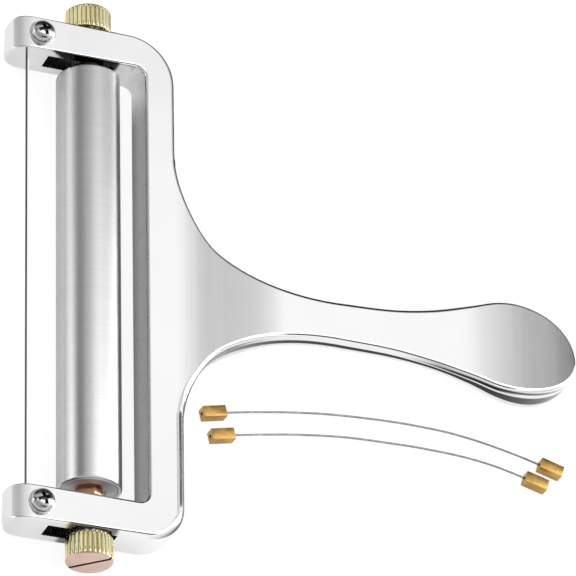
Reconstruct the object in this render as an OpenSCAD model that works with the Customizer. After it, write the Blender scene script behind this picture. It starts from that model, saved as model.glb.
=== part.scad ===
// Wire cheese slicer: a plated C-frame and handle in one casting, a taut cutting wire between the
// arm tips, a thickness roller that slides along toothed slots, and two spare wires beside it.
// The slicer lies on its back: X runs from the wire to the handle, Y along the roller, Z up.

/* [Frame] */
// Distance between the inner faces of the two arms, which is the cut that the wire makes
inner_span = 114; // [100:1:130]
// Distance from the cutting wire to the inner face of the bar
throat = 27.8; // [27:0.1:32]
// Width of each arm along the wire
arm_w = 8.5; // [8:0.1:10]
// Thickness of the frame
frame_t = 10.5; // [10:0.1:12]
// Width of the bar above the handle
bar_w = 7.7; // [6:0.1:9]
// Extra width of the bar below the handle
bar_swell = 1.3; // [0.5:0.1:2]
// Radius of the frame's two outer corners
corner_r = 12; // [8:0.5:13]
// Radius of the frame's two inner corners
window_r = 2.5; // [1:0.1:4]
// Radius at the corners of the arm tips
tip_corner_r = 2; // [1:0.1:3]

/* [Handle] */
// Length of the handle from the bar's outer face to its end
handle_len = 101.7; // [90:0.1:115]
// Width of the paddle
paddle_w = 22; // [18:0.5:26]
// Length of the paddle's rounded nose
nose_len = 17.4; // [14:0.1:20]
// Width of the neck
neck_w = 8.8; // [7:0.1:11]
// Height of the flare where the handle grows out of the bar
flare_h = 72; // [60:1:84]
// Length of the flare along the handle
flare_len = 41.8; // [35:0.1:48]
// How square the curve of the flare is
flare_power = 2.4; // [2.1:0.1:3]
// Rounding of the handle's edges
edge_r = 1.6; // [1:0.1:2]

/* [Slots] */
// Distance from the cutting wire to the near end of each slot
slot_start = 4.5; // [4:0.1:5]
// Length of each slot
slot_len = 16.5; // [15:0.1:17]
// Width of each slot
slot_w = 5.2; // [5:0.1:5.6]
// Distance between two teeth of a slot's rear wall
tooth_pitch = 0.75; // [0.6:0.05:1]
// Height of the teeth
tooth_h = 0.3; // [0.2:0.05:0.35]

/* [Cutting wire] */
// Diameter of the cutting wire and of the spare wires
wire_d = 0.5; // [0.4:0.05:0.6]
// Distance from the cutting wire to the axis of the tension screws, towards the handle
screw_offset = 2; // [1.8:0.1:2.2]
// Width of the square end blocks
block_w = 2.8; // [2.6:0.1:3]
// Length of the end blocks
block_len = 5.8; // [5:0.1:6]
// Clearance of an end block in its pocket, on each side
pocket_clearance = 0.15; // [0.1:0.05:0.25]
// Depth of the wall between a pocket and the frame's front face
pocket_roof = 3.2; // [2.8:0.1:3.4]
// Width of the cut that the wire lies in between a pocket and the inner face
wire_cut_w = 0.7; // [0.6:0.05:0.9]
// Width across the round opening in the end of a block
block_hole_d = 2.1; // [2:0.05:2.2]

/* [Tension screws] */
// Diameter of the head
head_d = 5.6; // [5:0.1:6]
// Height of the head
head_h = 2.1; // [1.8:0.1:2.6]
// Diameter of the threaded shank
tension_shank_d = 2; // [1.9:0.05:2]
// Length of the threaded shank below the washer
tension_shank_len = 7; // [6:0.1:7.4]
// Length of each arm of the cross recess, from the axis
recess_reach = 1.5; // [1.2:0.1:1.8]
// Width of the arms of the cross recess
recess_w = 0.8; // [0.6:0.05:1]
// Depth of the cross recess
recess_depth = 1.3; // [1:0.1:1.5]
// Turn of the cross recess
recess_angle = 20; // [0:5:45]
// Diameter of the washer under the head
tension_washer_d = 6.2; // [5.8:0.1:6.6]
// Thickness of the washer under the head
tension_washer_t = 0.4; // [0.3:0.05:0.6]

/* [Roller] */
// Diameter of the roller
roller_d = 15; // [14:0.1:15.4]
// Distance from each end of the roller to its arm
roller_gap = 3; // [2.5:0.1:5]
// Wall thickness of the roller tube
roller_wall = 1; // [0.6:0.1:1.5]
// Distance from the cutting wire to the roller's axis
axle_x = 15.2; // [14:0.1:16]
// Length of the end caps inside the tube
cap_len = 6; // [5:0.1:8]
// Diameter of the recess in the face of an end cap
cap_recess_d = 8.8; // [8.2:0.1:9.4]
// Depth of the recess in the face of an end cap
cap_recess_depth = 1.2; // [0.8:0.1:2]
// Radius of the rolled rim at the ends of the tube
rim_r = 0.4; // [0.2:0.05:0.45]

/* [Axle] */
// Diameter of the rod that ties the two bushes together
rod_d = 3; // [2.6:0.1:3.2]
// Width across the flats of the hexagon
hex_af = 6.4; // [6.2:0.1:6.8]
// Diameter of the journal that the end caps turn on
journal_d = 6; // [5.6:0.1:6]
// Thickness of the round collar against the arm
collar_t = 0.8; // [0.5:0.1:1.2]
// Depth of the thread in the end of a bush
bush_thread_depth = 6.2; // [5.8:0.1:6.6]
// Running clearance between turning pieces, on the radius
running_clearance = 0.05; // [0.03:0.01:0.08]
// End play of the roller on each side
end_play = 0.2; // [0.1:0.05:0.3]
// Gap between flat faces that slide or turn on each other
face_gap = 0.03; // [0.02:0.01:0.05]

/* [Thumbscrews] */
// Diameter over the knurl
knob_d = 11; // [10:0.1:12]
// Length of the knob
knob_len = 6; // [5:0.1:7]
// Number of ridges of the knurl
knurl_count = 30; // [24:1:36]
// Depth of the knurl
knurl_depth = 0.35; // [0.2:0.05:0.5]
// Bevel around the knob's outer end
knob_bevel = 0.6; // [0.3:0.05:0.9]
// Diameter of the threaded shank
shank_d = 3.9; // [3.6:0.1:3.9]
// How far the shank reaches past the arm's inner face
shank_reach = 5; // [4:0.1:5.2]
// Width of the driver slot in the knob's end
driver_slot_w = 0.7; // [0.5:0.05:1]
// Depth of the driver slot
driver_slot_depth = 1.5; // [1:0.1:2]
// Diameter of the washer under the knob
thumb_washer_d = 9.8; // [9:0.1:10]
// Thickness of the washer under the knob
thumb_washer_t = 0.5; // [0.4:0.05:0.8]

/* [Hidden] */
$fn = 64;

top = 1;
bottom = -1;
// How far a cut runs past the face that it starts from
overrun = 0.5;

half_span = inner_span / 2;
half_t = frame_t / 2;
arm_y = half_span + arm_w / 2;
arm_end = half_span + arm_w;
bar_end = throat + bar_w;
roller_len = inner_span - 2 * roller_gap;

// Handle: each row is a share of its length and the share of the way from neck to paddle width
paddle_shares = [
    [0.4, 0], [0.53, 0.075], [0.628, 0.295], [0.727, 0.667], [0.786, 0.927], [0.829, 1],
    [0.87, 0.983]
];
// Handle's front face: each row is a share of its length and of half the frame's thickness
front_shares = [
    [0, 0.99], [0.032, 0.8], [0.062, 0.56], [0.09, 0.39], [0.143, 0.35], [0.24, 0.4], [0.39, 0.43],
    [0.516, 0.48], [0.605, 0.54], [0.683, 0.65], [0.752, 0.76], [0.831, 0.83], [0.88, 0.8],
    [0.93, 0.66], [0.96, 0.55], [1, 0.3]
];
// Handle's back face, in the same way
back_shares = [
    [0, 0.99], [0.12, 0.98], [0.187, 0.9], [0.24, 0.72], [0.34, 0.58], [0.408, 0.53], [0.477, 0.48],
    [0.536, 0.4], [0.605, 0.29], [0.664, 0.22], [0.703, 0.22], [0.752, 0.28], [0.801, 0.44],
    [0.85, 0.69], [0.9, 0.92], [0.94, 0.97], [0.97, 0.9], [1, 0.62]
];
// Where the handle's cross-sections lie, as shares of its length past the bar
station_shares = [
    0, 0.004, 0.012, 0.025, 0.04, 0.06, 0.085, 0.115, 0.15, 0.19, 0.24, 0.3, 0.36, 0.42, 0.48, 0.54,
    0.6, 0.65, 0.7, 0.74, 0.78, 0.82, 0.86, 0.9, 0.93, 0.955, 0.975, 0.99, 0.998
];
tip_x = bar_end + handle_len * station_shares[len(station_shares) - 1];
// The middle of the slicer's length, which lies over the origin
centre_x = (tip_x - half_t) / 2;
// How far the handle's first cross-section lies inside the bar, as a share of the bar's width
root_share = 0.6;
// Largest rounding of a cross-section, as a share of its half width or its thickness
rounding_share = 0.49;
// Height of a screw head's straight rim, as a share of the head's height
head_rim_share = 0.55;
// How far the cut for the wire has come under the screw at the frame's back, as a share
lean_share = 0.93;
// Number of points along each rounded edge of a cross-section
edge_steps = 4;

// Row of a table in which a place falls
function row_at(table, s, i = 0) =
    i >= len(table) - 2 || s <= table[i + 1][0] ? i : row_at(table, s, i + 1);
// Slope of the smooth curve through a table, at one of its rows
function slope_at(table, i) =
    let (a = max(i - 1, 0), b = min(i + 1, len(table) - 1))
    (table[b][1] - table[a][1]) / (table[b][0] - table[a][0]);
// Value of the smooth curve through a table
function smooth_at(table, s) =
    let (i = row_at(table, s), h = table[i + 1][0] - table[i][0], u = (s - table[i][0]) / h)
    table[i][1] * (2 * u * u * u - 3 * u * u + 1) + table[i + 1][1] * (3 * u * u - 2 * u * u * u)
    + slope_at(table, i) * h * (u * u * u - 2 * u * u + u)
    + slope_at(table, i + 1) * h * (u * u * u - u * u);

// Half the width of the flare, at a distance from the bar
function flare_at(d) =
    let (t = min(1, max(0, (flare_len - d) / flare_len)))
    flare_h / 2 - (flare_h - neck_w) / 2 * pow(1 - pow(t, flare_power), 1 / flare_power);
// Half the width of the nose, at a distance from its start
function nose_at(d) = paddle_w / 2 * sqrt(max(0, 1 - pow(d / nose_len, 2)));
// Half the width of the handle, at a distance from the bar
function half_width_at(d) =
    let (
        s = d / handle_len,
        neck = neck_w / 2,
        grown = neck + (paddle_w / 2 - neck) * smooth_at(paddle_shares, s)
    )
    d > handle_len - nose_len ? nose_at(d - handle_len + nose_len)
    : d > flare_len ? max(neck, grown)
    : max(flare_at(d), neck);

// One corner of a cross-section, as an arc about its centre
function corner_arc(y, z, r, from) = [
    for (k = [0 : edge_steps])
        [y + r * cos(from + 90 * k / edge_steps), z + r * sin(from + 90 * k / edge_steps)]
];
// Cross-section of the handle with its half width, its front and its back
function section(w, front, back) =
    let (r = min(edge_r, rounding_share * w, rounding_share * (front - back)))
    concat(
        corner_arc(w - r, front - r, r, 0), corner_arc(r - w, front - r, r, 90),
        corner_arc(r - w, back + r, r, 180), corner_arc(w - r, back + r, r, 270)
    );
section_size = 4 * (edge_steps + 1);
function handle_ring(d) =
    let (s = d / handle_len)
    [for (p = section(
        half_width_at(d), half_t * smooth_at(front_shares, s), -half_t * smooth_at(back_shares, s)
    )) [bar_end + d, p[0], p[1]]];
root_ring = [for (p = handle_ring(0)) [p[0] - root_share * bar_w, p[1], p[2]]];

// The spare wires: points along each, above the table, and the turn of its two end blocks
spare_route_1 = [
    [-15, -24.7, 1.4], [-10, -23.6, 1.2], [-5, -22.5, 0.8], [0, -21.5, 0.5], [5, -20.7, 0.3],
    [10, -20.1, 0.3], [15, -19.7, 0.3], [20, -19.4, 0.3], [25, -19.2, 0.3], [30, -19.1, 0.3],
    [35, -19.2, 0.3], [40, -19.4, 0.3], [45, -19.9, 0.3], [50, -20.8, 0.5], [55, -22, 0.8],
    [60, -23.4, 1.2], [64, -24.6, 1.4]
];
spare_route_2 = [
    [-13, -30.2, 1.4], [-8, -29.1, 1.2], [-3, -28, 0.8], [2, -27, 0.5], [7, -26.2, 0.3],
    [12, -25.6, 0.3], [17, -25.2, 0.3], [22, -25, 0.3], [27, -24.9, 0.3], [32, -24.8, 0.3],
    [37, -24.9, 0.3], [42, -25.2, 0.5], [47, -25.8, 0.8], [52, -26.7, 1.1], [56, -27.7, 1.3],
    [60, -28.8, 1.4]
];
spare_turn_left = 12.4;
spare_turn_right = -16;
wire_sides = 8;
// Turn of the driver slot in each thumbscrew
slot_turn_top = 150;
slot_turn_bottom = 44;

// Puts the slicer with its middle over the origin and its lowest line on the table
module placed() {
    translate([-centre_x, 0, roller_d / 2]) children();
}

// Stands a piece that is drawn upwards on the outer side of an arm, or lays it along the roller
module outwards(side) {
    rotate([-90 * side, 0, 0]) children();
}

// Lays a flat outline in the plane of X and Z and gives it a length along Y
module along_wire(from, to) {
    translate([0, to, 0]) rotate([90, 0, 0]) linear_extrude(to - from) children();
}

module box_between(low, high) {
    translate(low) cube(high - low);
}

// Outline of the C-frame without its round tips, seen from the front
module frame_outline() {
    swollen_end = bar_end + bar_swell;
    difference() {
        union() {
            translate([tip_corner_r - half_t, -arm_end])
                square([bar_end - corner_r - tip_corner_r + half_t, 2 * arm_end]);
            translate([-half_t, tip_corner_r - arm_end])
                square([tip_corner_r, 2 * (arm_end - tip_corner_r)]);
            for (side = [top, bottom])
                translate([tip_corner_r - half_t, side * (arm_end - tip_corner_r)])
                    circle(tip_corner_r);
            translate([bar_end - corner_r, 0])
                square([corner_r, arm_end - corner_r]);
            translate([bar_end - corner_r, arm_end - corner_r])
                circle(corner_r);
            translate([bar_end - corner_r, corner_r - arm_end])
                square([corner_r + bar_swell, arm_end - corner_r]);
            translate([bar_end - corner_r, -arm_end])
                square([bar_swell, corner_r]);
            translate([swollen_end - corner_r, corner_r - arm_end])
                circle(corner_r);
        }
        translate([-half_t - overrun, -half_span])
            square([half_t + overrun + throat - window_r, inner_span]);
        translate([throat - window_r - overrun, window_r - half_span])
            square([window_r + overrun, inner_span - 2 * window_r]);
        for (side = [top, bottom])
            translate([throat - window_r, side * (half_span - window_r)])
                circle(window_r);
    }
}

// Rounds the arm tips about the wire
module thickness_outline() {
    circle(half_t);
    translate([0, -half_t])
        square([bar_end + bar_swell + overrun, frame_t]);
}

// A slot with its toothed rear wall
module slot_outline() {
    teeth = floor(slot_len / tooth_pitch);
    first = slot_start + (slot_len - teeth * tooth_pitch) / 2;
    polygon(concat(
        [[slot_start + slot_len, -slot_w / 2], [slot_start + slot_len, slot_w / 2]],
        [[slot_start, slot_w / 2], [slot_start, -slot_w / 2]],
        [for (k = [0 : teeth - 1]) each [
            [first + k * tooth_pitch, -slot_w / 2],
            [first + (k + 0.5) * tooth_pitch, tooth_h - slot_w / 2]
        ]]
    ));
}

pocket_half = block_w / 2 + pocket_clearance;
pocket_top = half_t - pocket_roof;
// The wire runs from the inner face to the near side of its block, turned towards the block
block_face = arm_y - block_w / 2;
tail_end_x = screw_offset - block_w / 4;
tail_turn = atan2(tail_end_x, block_face - half_span);
// The cut for the wire leans backwards towards the pocket
cut_lean = lean_share * screw_offset / half_t;

module pocket_cuts(side) {
    translate([screw_offset - pocket_half, side * arm_y - pocket_half, -half_t - overrun])
        cube([2 * pocket_half, 2 * pocket_half, pocket_top + half_t + overrun]);
    translate([screw_offset, side * arm_y, 0])
        cylinder(h = half_t + overrun, r = tension_shank_d / 2 + pocket_clearance);
    translate([0, side * half_span, 0])
        rotate([0, 0, -tail_turn * side])
            along_wire(
                side == top ? -overrun : -(arm_w - block_w) / 2 - overrun,
                side == top ? (arm_w - block_w) / 2 + overrun : overrun
            )
                polygon([
                    [-wire_cut_w / 2, 0], [-wire_cut_w / 2, wire_cut_w / 2],
                    [wire_cut_w / 2, wire_cut_w / 2], [wire_cut_w / 2, 0],
                    [wire_cut_w / 2 + cut_lean * (half_t + overrun), -half_t - overrun],
                    [-wire_cut_w / 2 + cut_lean * (half_t + overrun), -half_t - overrun]
                ]);
}

module handle() {
    rings = concat([root_ring], [for (s = station_shares) handle_ring(s * handle_len)]);
    count = len(rings);
    n = section_size;
    polyhedron(
        points = [for (ring = rings) each ring],
        faces = concat(
            [[for (k = [0 : n - 1]) k]],
            [for (i = [0 : count - 2], k = [0 : n - 1]) each [
                [i * n + k, (i + 1) * n + k, (i + 1) * n + (k + 1) % n],
                [i * n + k, (i + 1) * n + (k + 1) % n, i * n + (k + 1) % n]
            ]],
            [[for (k = [n - 1 : -1 : 0]) (count - 1) * n + k]]
        ),
        convexity = 4
    );
}

module frame() {
    color("gainsboro") placed() difference() {
        union() {
            intersection() {
                translate([0, 0, -half_t]) linear_extrude(frame_t) frame_outline();
                along_wire(-arm_end, arm_end) thickness_outline();
            }
            handle();
        }
        along_wire(-arm_end - overrun, arm_end + overrun) slot_outline();
        for (side = [top, bottom])
            pocket_cuts(side);
    }
}

module cutting_wire() {
    color("dimgray") placed()
        along_wire(-half_span, half_span) circle(d = wire_d);
}

// The end of the wire inside the arm, up to its block
module wire_tail(side) {
    reach = block_face - half_span;
    color("dimgray") placed() intersection() {
        translate([0, side * half_span, 0]) rotate([0, 0, -tail_turn * side])
            along_wire(-2 * reach, 2 * reach) circle(d = wire_d);
        box_between(
            [-block_w, min(side * half_span, side * block_face), -wire_d],
            [block_w, max(side * half_span, side * block_face), wire_d]
        );
    }
}

// A square brass block with a threaded opening in one end
module end_block(hole_depth) {
    difference() {
        translate([-block_w / 2, -block_w / 2, -block_len])
            cube([block_w, block_w, block_len]);
        translate([0, 0, -hole_depth])
            cylinder(h = hole_depth + overrun, d = block_hole_d);
    }
}

module wire_block(side) {
    color("goldenrod") placed()
        translate([screw_offset, side * arm_y, pocket_top - pocket_clearance])
            end_block(block_len - block_w / 4);
}

module tension_washer(side) {
    color("silver") placed()
        translate([screw_offset, side * arm_y, half_t]) difference() {
            cylinder(h = tension_washer_t, d = tension_washer_d);
            translate([0, 0, -overrun])
                cylinder(
                    h = tension_washer_t + 2 * overrun,
                    r = tension_shank_d / 2 + pocket_clearance
                );
        }
}

module tension_screw(side) {
    color("silver") placed()
        translate([screw_offset, side * arm_y, half_t + tension_washer_t + face_gap]) {
            difference() {
                intersection() {
                    cylinder(h = head_h, d = head_d);
                    head_dome(head_rim_share * head_h);
                }
                for (turn = [recess_angle, recess_angle + 90])
                    rotate([0, 0, turn])
                        translate([-recess_reach, -recess_w / 2, head_h - recess_depth])
                            cube([2 * recess_reach, recess_w, recess_depth + overrun]);
            }
            translate([0, 0, -tension_shank_len])
                cylinder(h = tension_shank_len + overrun, d = tension_shank_d);
        }
}

// A large ball that gives a screw head its rounded top, with the rim at the given height
module head_dome(rim) {
    rise = head_h - rim;
    ball_r = (pow(head_d / 2, 2) + rise * rise) / (2 * rise);
    translate([0, 0, head_h - ball_r]) sphere(ball_r);
}

module roller_tube() {
    inner_r = roller_d / 2 - roller_wall;
    color("lightgray") placed() translate([axle_x, 0, 0]) outwards(top)
        rotate_extrude($fn = 96) polygon([
            [inner_r, -roller_len / 2],
            [roller_d / 2 - rim_r, -roller_len / 2], [roller_d / 2, rim_r - roller_len / 2],
            [roller_d / 2, roller_len / 2 - rim_r], [roller_d / 2 - rim_r, roller_len / 2],
            [inner_r, roller_len / 2]
        ]);
}

// An end cap in the tube, with its bearing bore and the recess for the hexagon
module roller_cap(side) {
    outer_r = roller_d / 2 - roller_wall - face_gap / 2;
    color("silver") placed() translate([axle_x, 0, 0]) outwards(side)
        translate([0, 0, roller_len / 2 - cap_len]) difference() {
            cylinder(h = cap_len, r = outer_r);
            translate([0, 0, -overrun])
                cylinder(h = cap_len + 2 * overrun, r = journal_d / 2 + running_clearance);
            translate([0, 0, cap_len - cap_recess_depth])
                cylinder(h = cap_recess_depth + overrun, d = cap_recess_d);
        }
}

// Where the hexagon of a bush ends inside the roller, and where the journal ends
hex_start = roller_len / 2 - cap_recess_depth + end_play;
journal_start = roller_len / 2 - cap_len - end_play;
bush_end = half_span - face_gap;
rod_end = bush_end - bush_thread_depth;

module axle_bush(side) {
    color("peru") placed() translate([axle_x, 0, 0]) outwards(side) difference() {
        union() {
            translate([0, 0, journal_start])
                cylinder(h = hex_start - journal_start + overrun, d = journal_d);
            translate([0, 0, hex_start])
                cylinder(h = bush_end - hex_start, d = hex_af / cos(30), $fn = 6);
            translate([0, 0, bush_end - collar_t])
                cylinder(h = collar_t, d = hex_af / cos(30));
        }
        translate([0, 0, rod_end])
            cylinder(h = bush_thread_depth + overrun, r = shank_d / 2 + running_clearance);
        translate([0, 0, journal_start - overrun])
            cylinder(h = rod_end - journal_start + 2 * overrun, r = rod_d / 2 + running_clearance);
    }
}

module axle_rod() {
    reach = rod_end - end_play;
    color("silver") placed() translate([axle_x, 0, 0])
        along_wire(-reach, reach) circle(d = rod_d);
}

washer_start = arm_end + face_gap;
knob_start = washer_start + thumb_washer_t + face_gap;

module thumb_washer(side) {
    color("silver") placed() translate([axle_x, 0, 0]) outwards(side)
        translate([0, 0, washer_start]) difference() {
            cylinder(h = thumb_washer_t, d = thumb_washer_d);
            translate([0, 0, -overrun])
                cylinder(h = thumb_washer_t + 2 * overrun, r = shank_d / 2 + pocket_clearance);
        }
}

// A knurled knob with a driver slot across its end and a threaded shank
module thumbscrew(side, slot_turn) {
    inner_end = half_span - shank_reach;
    color("khaki") placed() translate([axle_x, 0, 0]) outwards(side) {
        translate([0, 0, knob_start]) difference() {
            intersection() {
                linear_extrude(knob_len) polygon([
                    for (k = [0 : 2 * knurl_count - 1])
                        let (r = knob_d / 2 - (k % 2) * knurl_depth, a = 180 * k / knurl_count)
                        [r * cos(a), r * sin(a)]
                ]);
                rotate_extrude() polygon([
                    [0, 0], [knob_d / 2 - knurl_depth, 0], [knob_d / 2, knurl_depth],
                    [knob_d / 2, knob_len - knob_bevel], [knob_d / 2 - knob_bevel, knob_len],
                    [0, knob_len]
                ]);
            }
            rotate([0, 0, slot_turn])
                translate([-knob_d, -driver_slot_w / 2, knob_len - driver_slot_depth])
                    cube([2 * knob_d, driver_slot_w, driver_slot_depth + overrun]);
        }
        translate([0, 0, inner_end])
            cylinder(h = knob_start + overrun - inner_end, d = shank_d);
    }
}

// The ring of points around a spare wire at one point of its route
function wire_ring(route, i) =
    let (
        a = route[max(i - 1, 0)],
        b = route[min(i + 1, len(route) - 1)],
        turn = atan2(b[1] - a[1], b[0] - a[0])
    )
    [for (k = [0 : wire_sides - 1])
        let (angle = 360 * (k + 0.5) / wire_sides)
        route[i] + wire_d / 2 * [-sin(turn) * cos(angle), cos(turn) * cos(angle), sin(angle)]];

module spare_wire(route) {
    count = len(route);
    n = wire_sides;
    color("darkgray") polyhedron(
        points = [for (i = [0 : count - 1]) each wire_ring(route, i)],
        faces = concat(
            [[for (k = [0 : n - 1]) k]],
            [for (i = [0 : count - 2], k = [0 : n - 1]) each [
                [i * n + k, (i + 1) * n + k, (i + 1) * n + (k + 1) % n],
                [i * n + k, (i + 1) * n + (k + 1) % n, i * n + (k + 1) % n]
            ]],
            [[for (k = [n - 1 : -1 : 0]) (count - 1) * n + k]]
        )
    );
}

// An end block lying on the table at the end of a spare wire, with its opening away from the wire
module spare_block(end, turn) {
    color("goldenrod") translate([end[0], end[1], block_w / 2]) rotate([0, 0, turn])
        rotate([0, 90, 0]) translate([0, 0, block_len + wire_d / 4])
            end_block(block_len - block_w / 2);
}

frame();
cutting_wire();
wire_tail(top);  // wire_tail_top
wire_tail(bottom);  // wire_tail_bottom
wire_block(top);  // wire_block_top
wire_block(bottom);  // wire_block_bottom
tension_screw(top);  // tension_screw_top
tension_screw(bottom);  // tension_screw_bottom
tension_washer(top);  // tension_washer_top
tension_washer(bottom);  // tension_washer_bottom
roller_tube();
roller_cap(top);  // roller_cap_top
roller_cap(bottom);  // roller_cap_bottom
axle_rod();
axle_bush(top);  // axle_bush_top
axle_bush(bottom);  // axle_bush_bottom
thumbscrew(top, slot_turn_top);  // thumbscrew_top
thumbscrew(bottom, slot_turn_bottom);  // thumbscrew_bottom
thumb_washer(top);  // thumb_washer_top
thumb_washer(bottom);  // thumb_washer_bottom
spare_wire(spare_route_1);  // spare_wire_1
spare_wire(spare_route_2);  // spare_wire_2
spare_block(spare_route_1[0], 180 + spare_turn_left);  // spare_block_1_left
spare_block(spare_route_1[len(spare_route_1) - 1], spare_turn_right);  // spare_block_1_right
spare_block(spare_route_2[0], 180 + spare_turn_left);  // spare_block_2_left
spare_block(spare_route_2[len(spare_route_2) - 1], spare_turn_right);  // spare_block_2_right
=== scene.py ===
"""The visible pieces of an adjustable wire cheese slicer, built around its fixed frame."""

import math

import bmesh
import bpy
from mathutils import Matrix, Vector


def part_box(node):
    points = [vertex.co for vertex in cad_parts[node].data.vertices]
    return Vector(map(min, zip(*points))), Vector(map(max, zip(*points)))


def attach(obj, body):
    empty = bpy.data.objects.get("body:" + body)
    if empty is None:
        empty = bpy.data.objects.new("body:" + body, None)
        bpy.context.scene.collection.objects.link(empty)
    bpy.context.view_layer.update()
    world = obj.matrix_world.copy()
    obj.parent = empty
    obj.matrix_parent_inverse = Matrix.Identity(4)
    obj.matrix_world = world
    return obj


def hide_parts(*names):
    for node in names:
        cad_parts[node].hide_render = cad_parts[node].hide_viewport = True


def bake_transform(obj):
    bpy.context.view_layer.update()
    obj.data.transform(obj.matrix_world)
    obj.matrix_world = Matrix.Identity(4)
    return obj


bl_info = {
    "name": "Wire Cheese Slicer",
    "version": (1, 0, 0),
    "blender": (4, 5, 0),
    "location": "View3D > Sidebar > Slicer",
    "description": "Builds the casting, roller, wires and screws of a wire cheese slicer",
    "category": "Add Mesh",
}

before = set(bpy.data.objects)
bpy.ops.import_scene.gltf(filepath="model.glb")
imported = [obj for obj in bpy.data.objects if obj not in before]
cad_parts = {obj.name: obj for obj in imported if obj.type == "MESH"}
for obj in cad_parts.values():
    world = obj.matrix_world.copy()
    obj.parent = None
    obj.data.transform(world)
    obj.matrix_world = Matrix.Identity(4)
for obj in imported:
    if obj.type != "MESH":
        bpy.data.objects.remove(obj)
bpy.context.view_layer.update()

# Shapes are drawn in millimetres about the middle of the cutting wire: X towards the handle,
# Y along the roller, Z up. TO_ROW turns them into metres in the frame's own place.
MM = 0.001
wire_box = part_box("cutting_wire")
WIRE_MIDDLE = (wire_box[0] + wire_box[1]) / 2
TO_ROW = Matrix.Translation(WIRE_MIDDLE) @ Matrix.Scale(MM, 4)
TOP, BOTTOM = 1, -1
SIDE_NAMES = {TOP: "top", BOTTOM: "bottom"}


def node_size(node):
    """Size of a node's box in millimetres."""
    low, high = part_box(node)
    return (high - low) / MM


def node_middle(node):
    """Middle of a node's box, in millimetres about the middle of the cutting wire."""
    low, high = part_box(node)
    return ((low + high) / 2 - WIRE_MIDDLE) / MM


def node_heights(node):
    """Lowest and highest Z of a node, in millimetres about the middle of the cutting wire."""
    return [(corner.z - WIRE_MIDDLE.z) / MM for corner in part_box(node)]


def node_reach(node):
    """How far out along Y a node starts and ends on its side, in millimetres."""
    return sorted(abs(corner.y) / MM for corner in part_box(node))


# Sizes read from the frame
HALF_T = -(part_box("frame")[0].x - WIRE_MIDDLE.x) / MM
ARM_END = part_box("frame")[1].y / MM
HALF_SPAN = wire_box[1].y / MM
ARM_Y = (HALF_SPAN + ARM_END) / 2
AXLE_X = node_middle("roller_tube").x
ROLLER_R = node_size("roller_tube").x / 2
ROLLER_HALF = node_size("roller_tube").y / 2
SCREW_X = node_middle("tension_screw_top").x

# The casting, in millimetres
THROAT = 27.8
BAR_END = 35.5
BAR_SWELL = 1.7
SWELL_LEN = 14.0
CORNER_R = 12.0
LOW_CORNER_R = 9.5
WINDOW_R = 2.5
TIP_R = 2.0
TIP_INNER_R = 0.8
HANDLE_LEN = 102.1
FLARE_H = 72.0
FLARE_LEN = 40.0
FLARE_POWER = 2.15
NECK_W = 10.8
PADDLE_W = 24.0
NOSE_LEN = 17.4
SLOT_START = 4.5
SLOT_LEN = 16.5
SLOT_W = 5.2
TOOTH_PITCH = 0.75
TOOTH_H = 0.3
POCKET_HALF = 1.55
POCKET_TOP = 2.05
SCREW_HOLE_R = 1.15
# How far a cutter reaches past what it cuts
OVERRUN = 0.5

# Each row: share of the handle's length, share of the way from neck to paddle width
PADDLE_SHARES = [
    (0.4, 0), (0.53, 0.075), (0.628, 0.295), (0.727, 0.667), (0.786, 0.927), (0.829, 1),
    (0.87, 0.983),
]
# Between these distances from the bar's outer side the front sinks to a share of half the
# frame's thickness
ROOT_START, ROOT_END, ROOT_SHARE = -1.0, 11.2, 0.35
# Each row: share of the handle's length, share of half the frame's thickness
FRONT_SHARES = [
    (0.11, 0.35), (0.143, 0.35), (0.24, 0.4), (0.39, 0.43),
    (0.516, 0.48), (0.605, 0.54), (0.683, 0.65), (0.752, 0.76), (0.831, 0.83), (0.88, 0.79),
    (0.93, 0.69), (0.965, 0.56), (1, 0.38),
]
BACK_SHARES = [
    (0, 0.99), (0.12, 0.98), (0.187, 0.9), (0.24, 0.72), (0.34, 0.58), (0.408, 0.53), (0.477, 0.48),
    (0.536, 0.4), (0.605, 0.29), (0.664, 0.22), (0.703, 0.22), (0.752, 0.28), (0.801, 0.44),
    (0.85, 0.69), (0.9, 0.92), (0.94, 0.97), (0.97, 0.9), (1, 0.62),
]

# The spare wires lie on the table. Their points are the solids' own, in millimetres.
SPARE_ROUTES = {
    1: [
        (-15, -24.7, 1.4), (-10, -23.6, 1.2), (-5, -22.5, 0.8), (0, -21.5, 0.5), (5, -20.7, 0.3),
        (10, -20.1, 0.3), (15, -19.7, 0.3), (20, -19.4, 0.3), (25, -19.2, 0.3), (30, -19.1, 0.3),
        (35, -19.2, 0.3), (40, -19.4, 0.3), (45, -19.9, 0.3), (50, -20.8, 0.5), (55, -22, 0.8),
        (60, -23.4, 1.2), (64, -24.6, 1.4),
    ],
    2: [
        (-13, -30.2, 1.4), (-8, -29.1, 1.2), (-3, -28, 0.8), (2, -27, 0.5), (7, -26.2, 0.3),
        (12, -25.6, 0.3), (17, -25.2, 0.3), (22, -25, 0.3), (27, -24.9, 0.3), (32, -24.8, 0.3),
        (37, -24.9, 0.3), (42, -25.2, 0.5), (47, -25.8, 0.8), (52, -26.7, 1.1), (56, -27.7, 1.3),
        (60, -28.8, 1.4),
    ],
}
SPARE_TURNS = {"left": 180 + 12.4, "right": -16.0}

# The camera stands where the photograph was taken from, in millimetres about the wire's middle
CAMERA_AT = (-394.2, -659.8, 1124.5)
CAMERA_RIGHT = (0.92959, -0.01898, 0.36812)
CAMERA_UP = (-0.16188, 0.87620, 0.45395)
CAMERA_BACK = (-0.33116, -0.48157, 0.81143)


def length(name, default, description):
    """A length of the scene, in metres."""
    return bpy.props.FloatProperty(
        name=name, default=default, description=description, unit="LENGTH", min=0.0
    )


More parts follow.
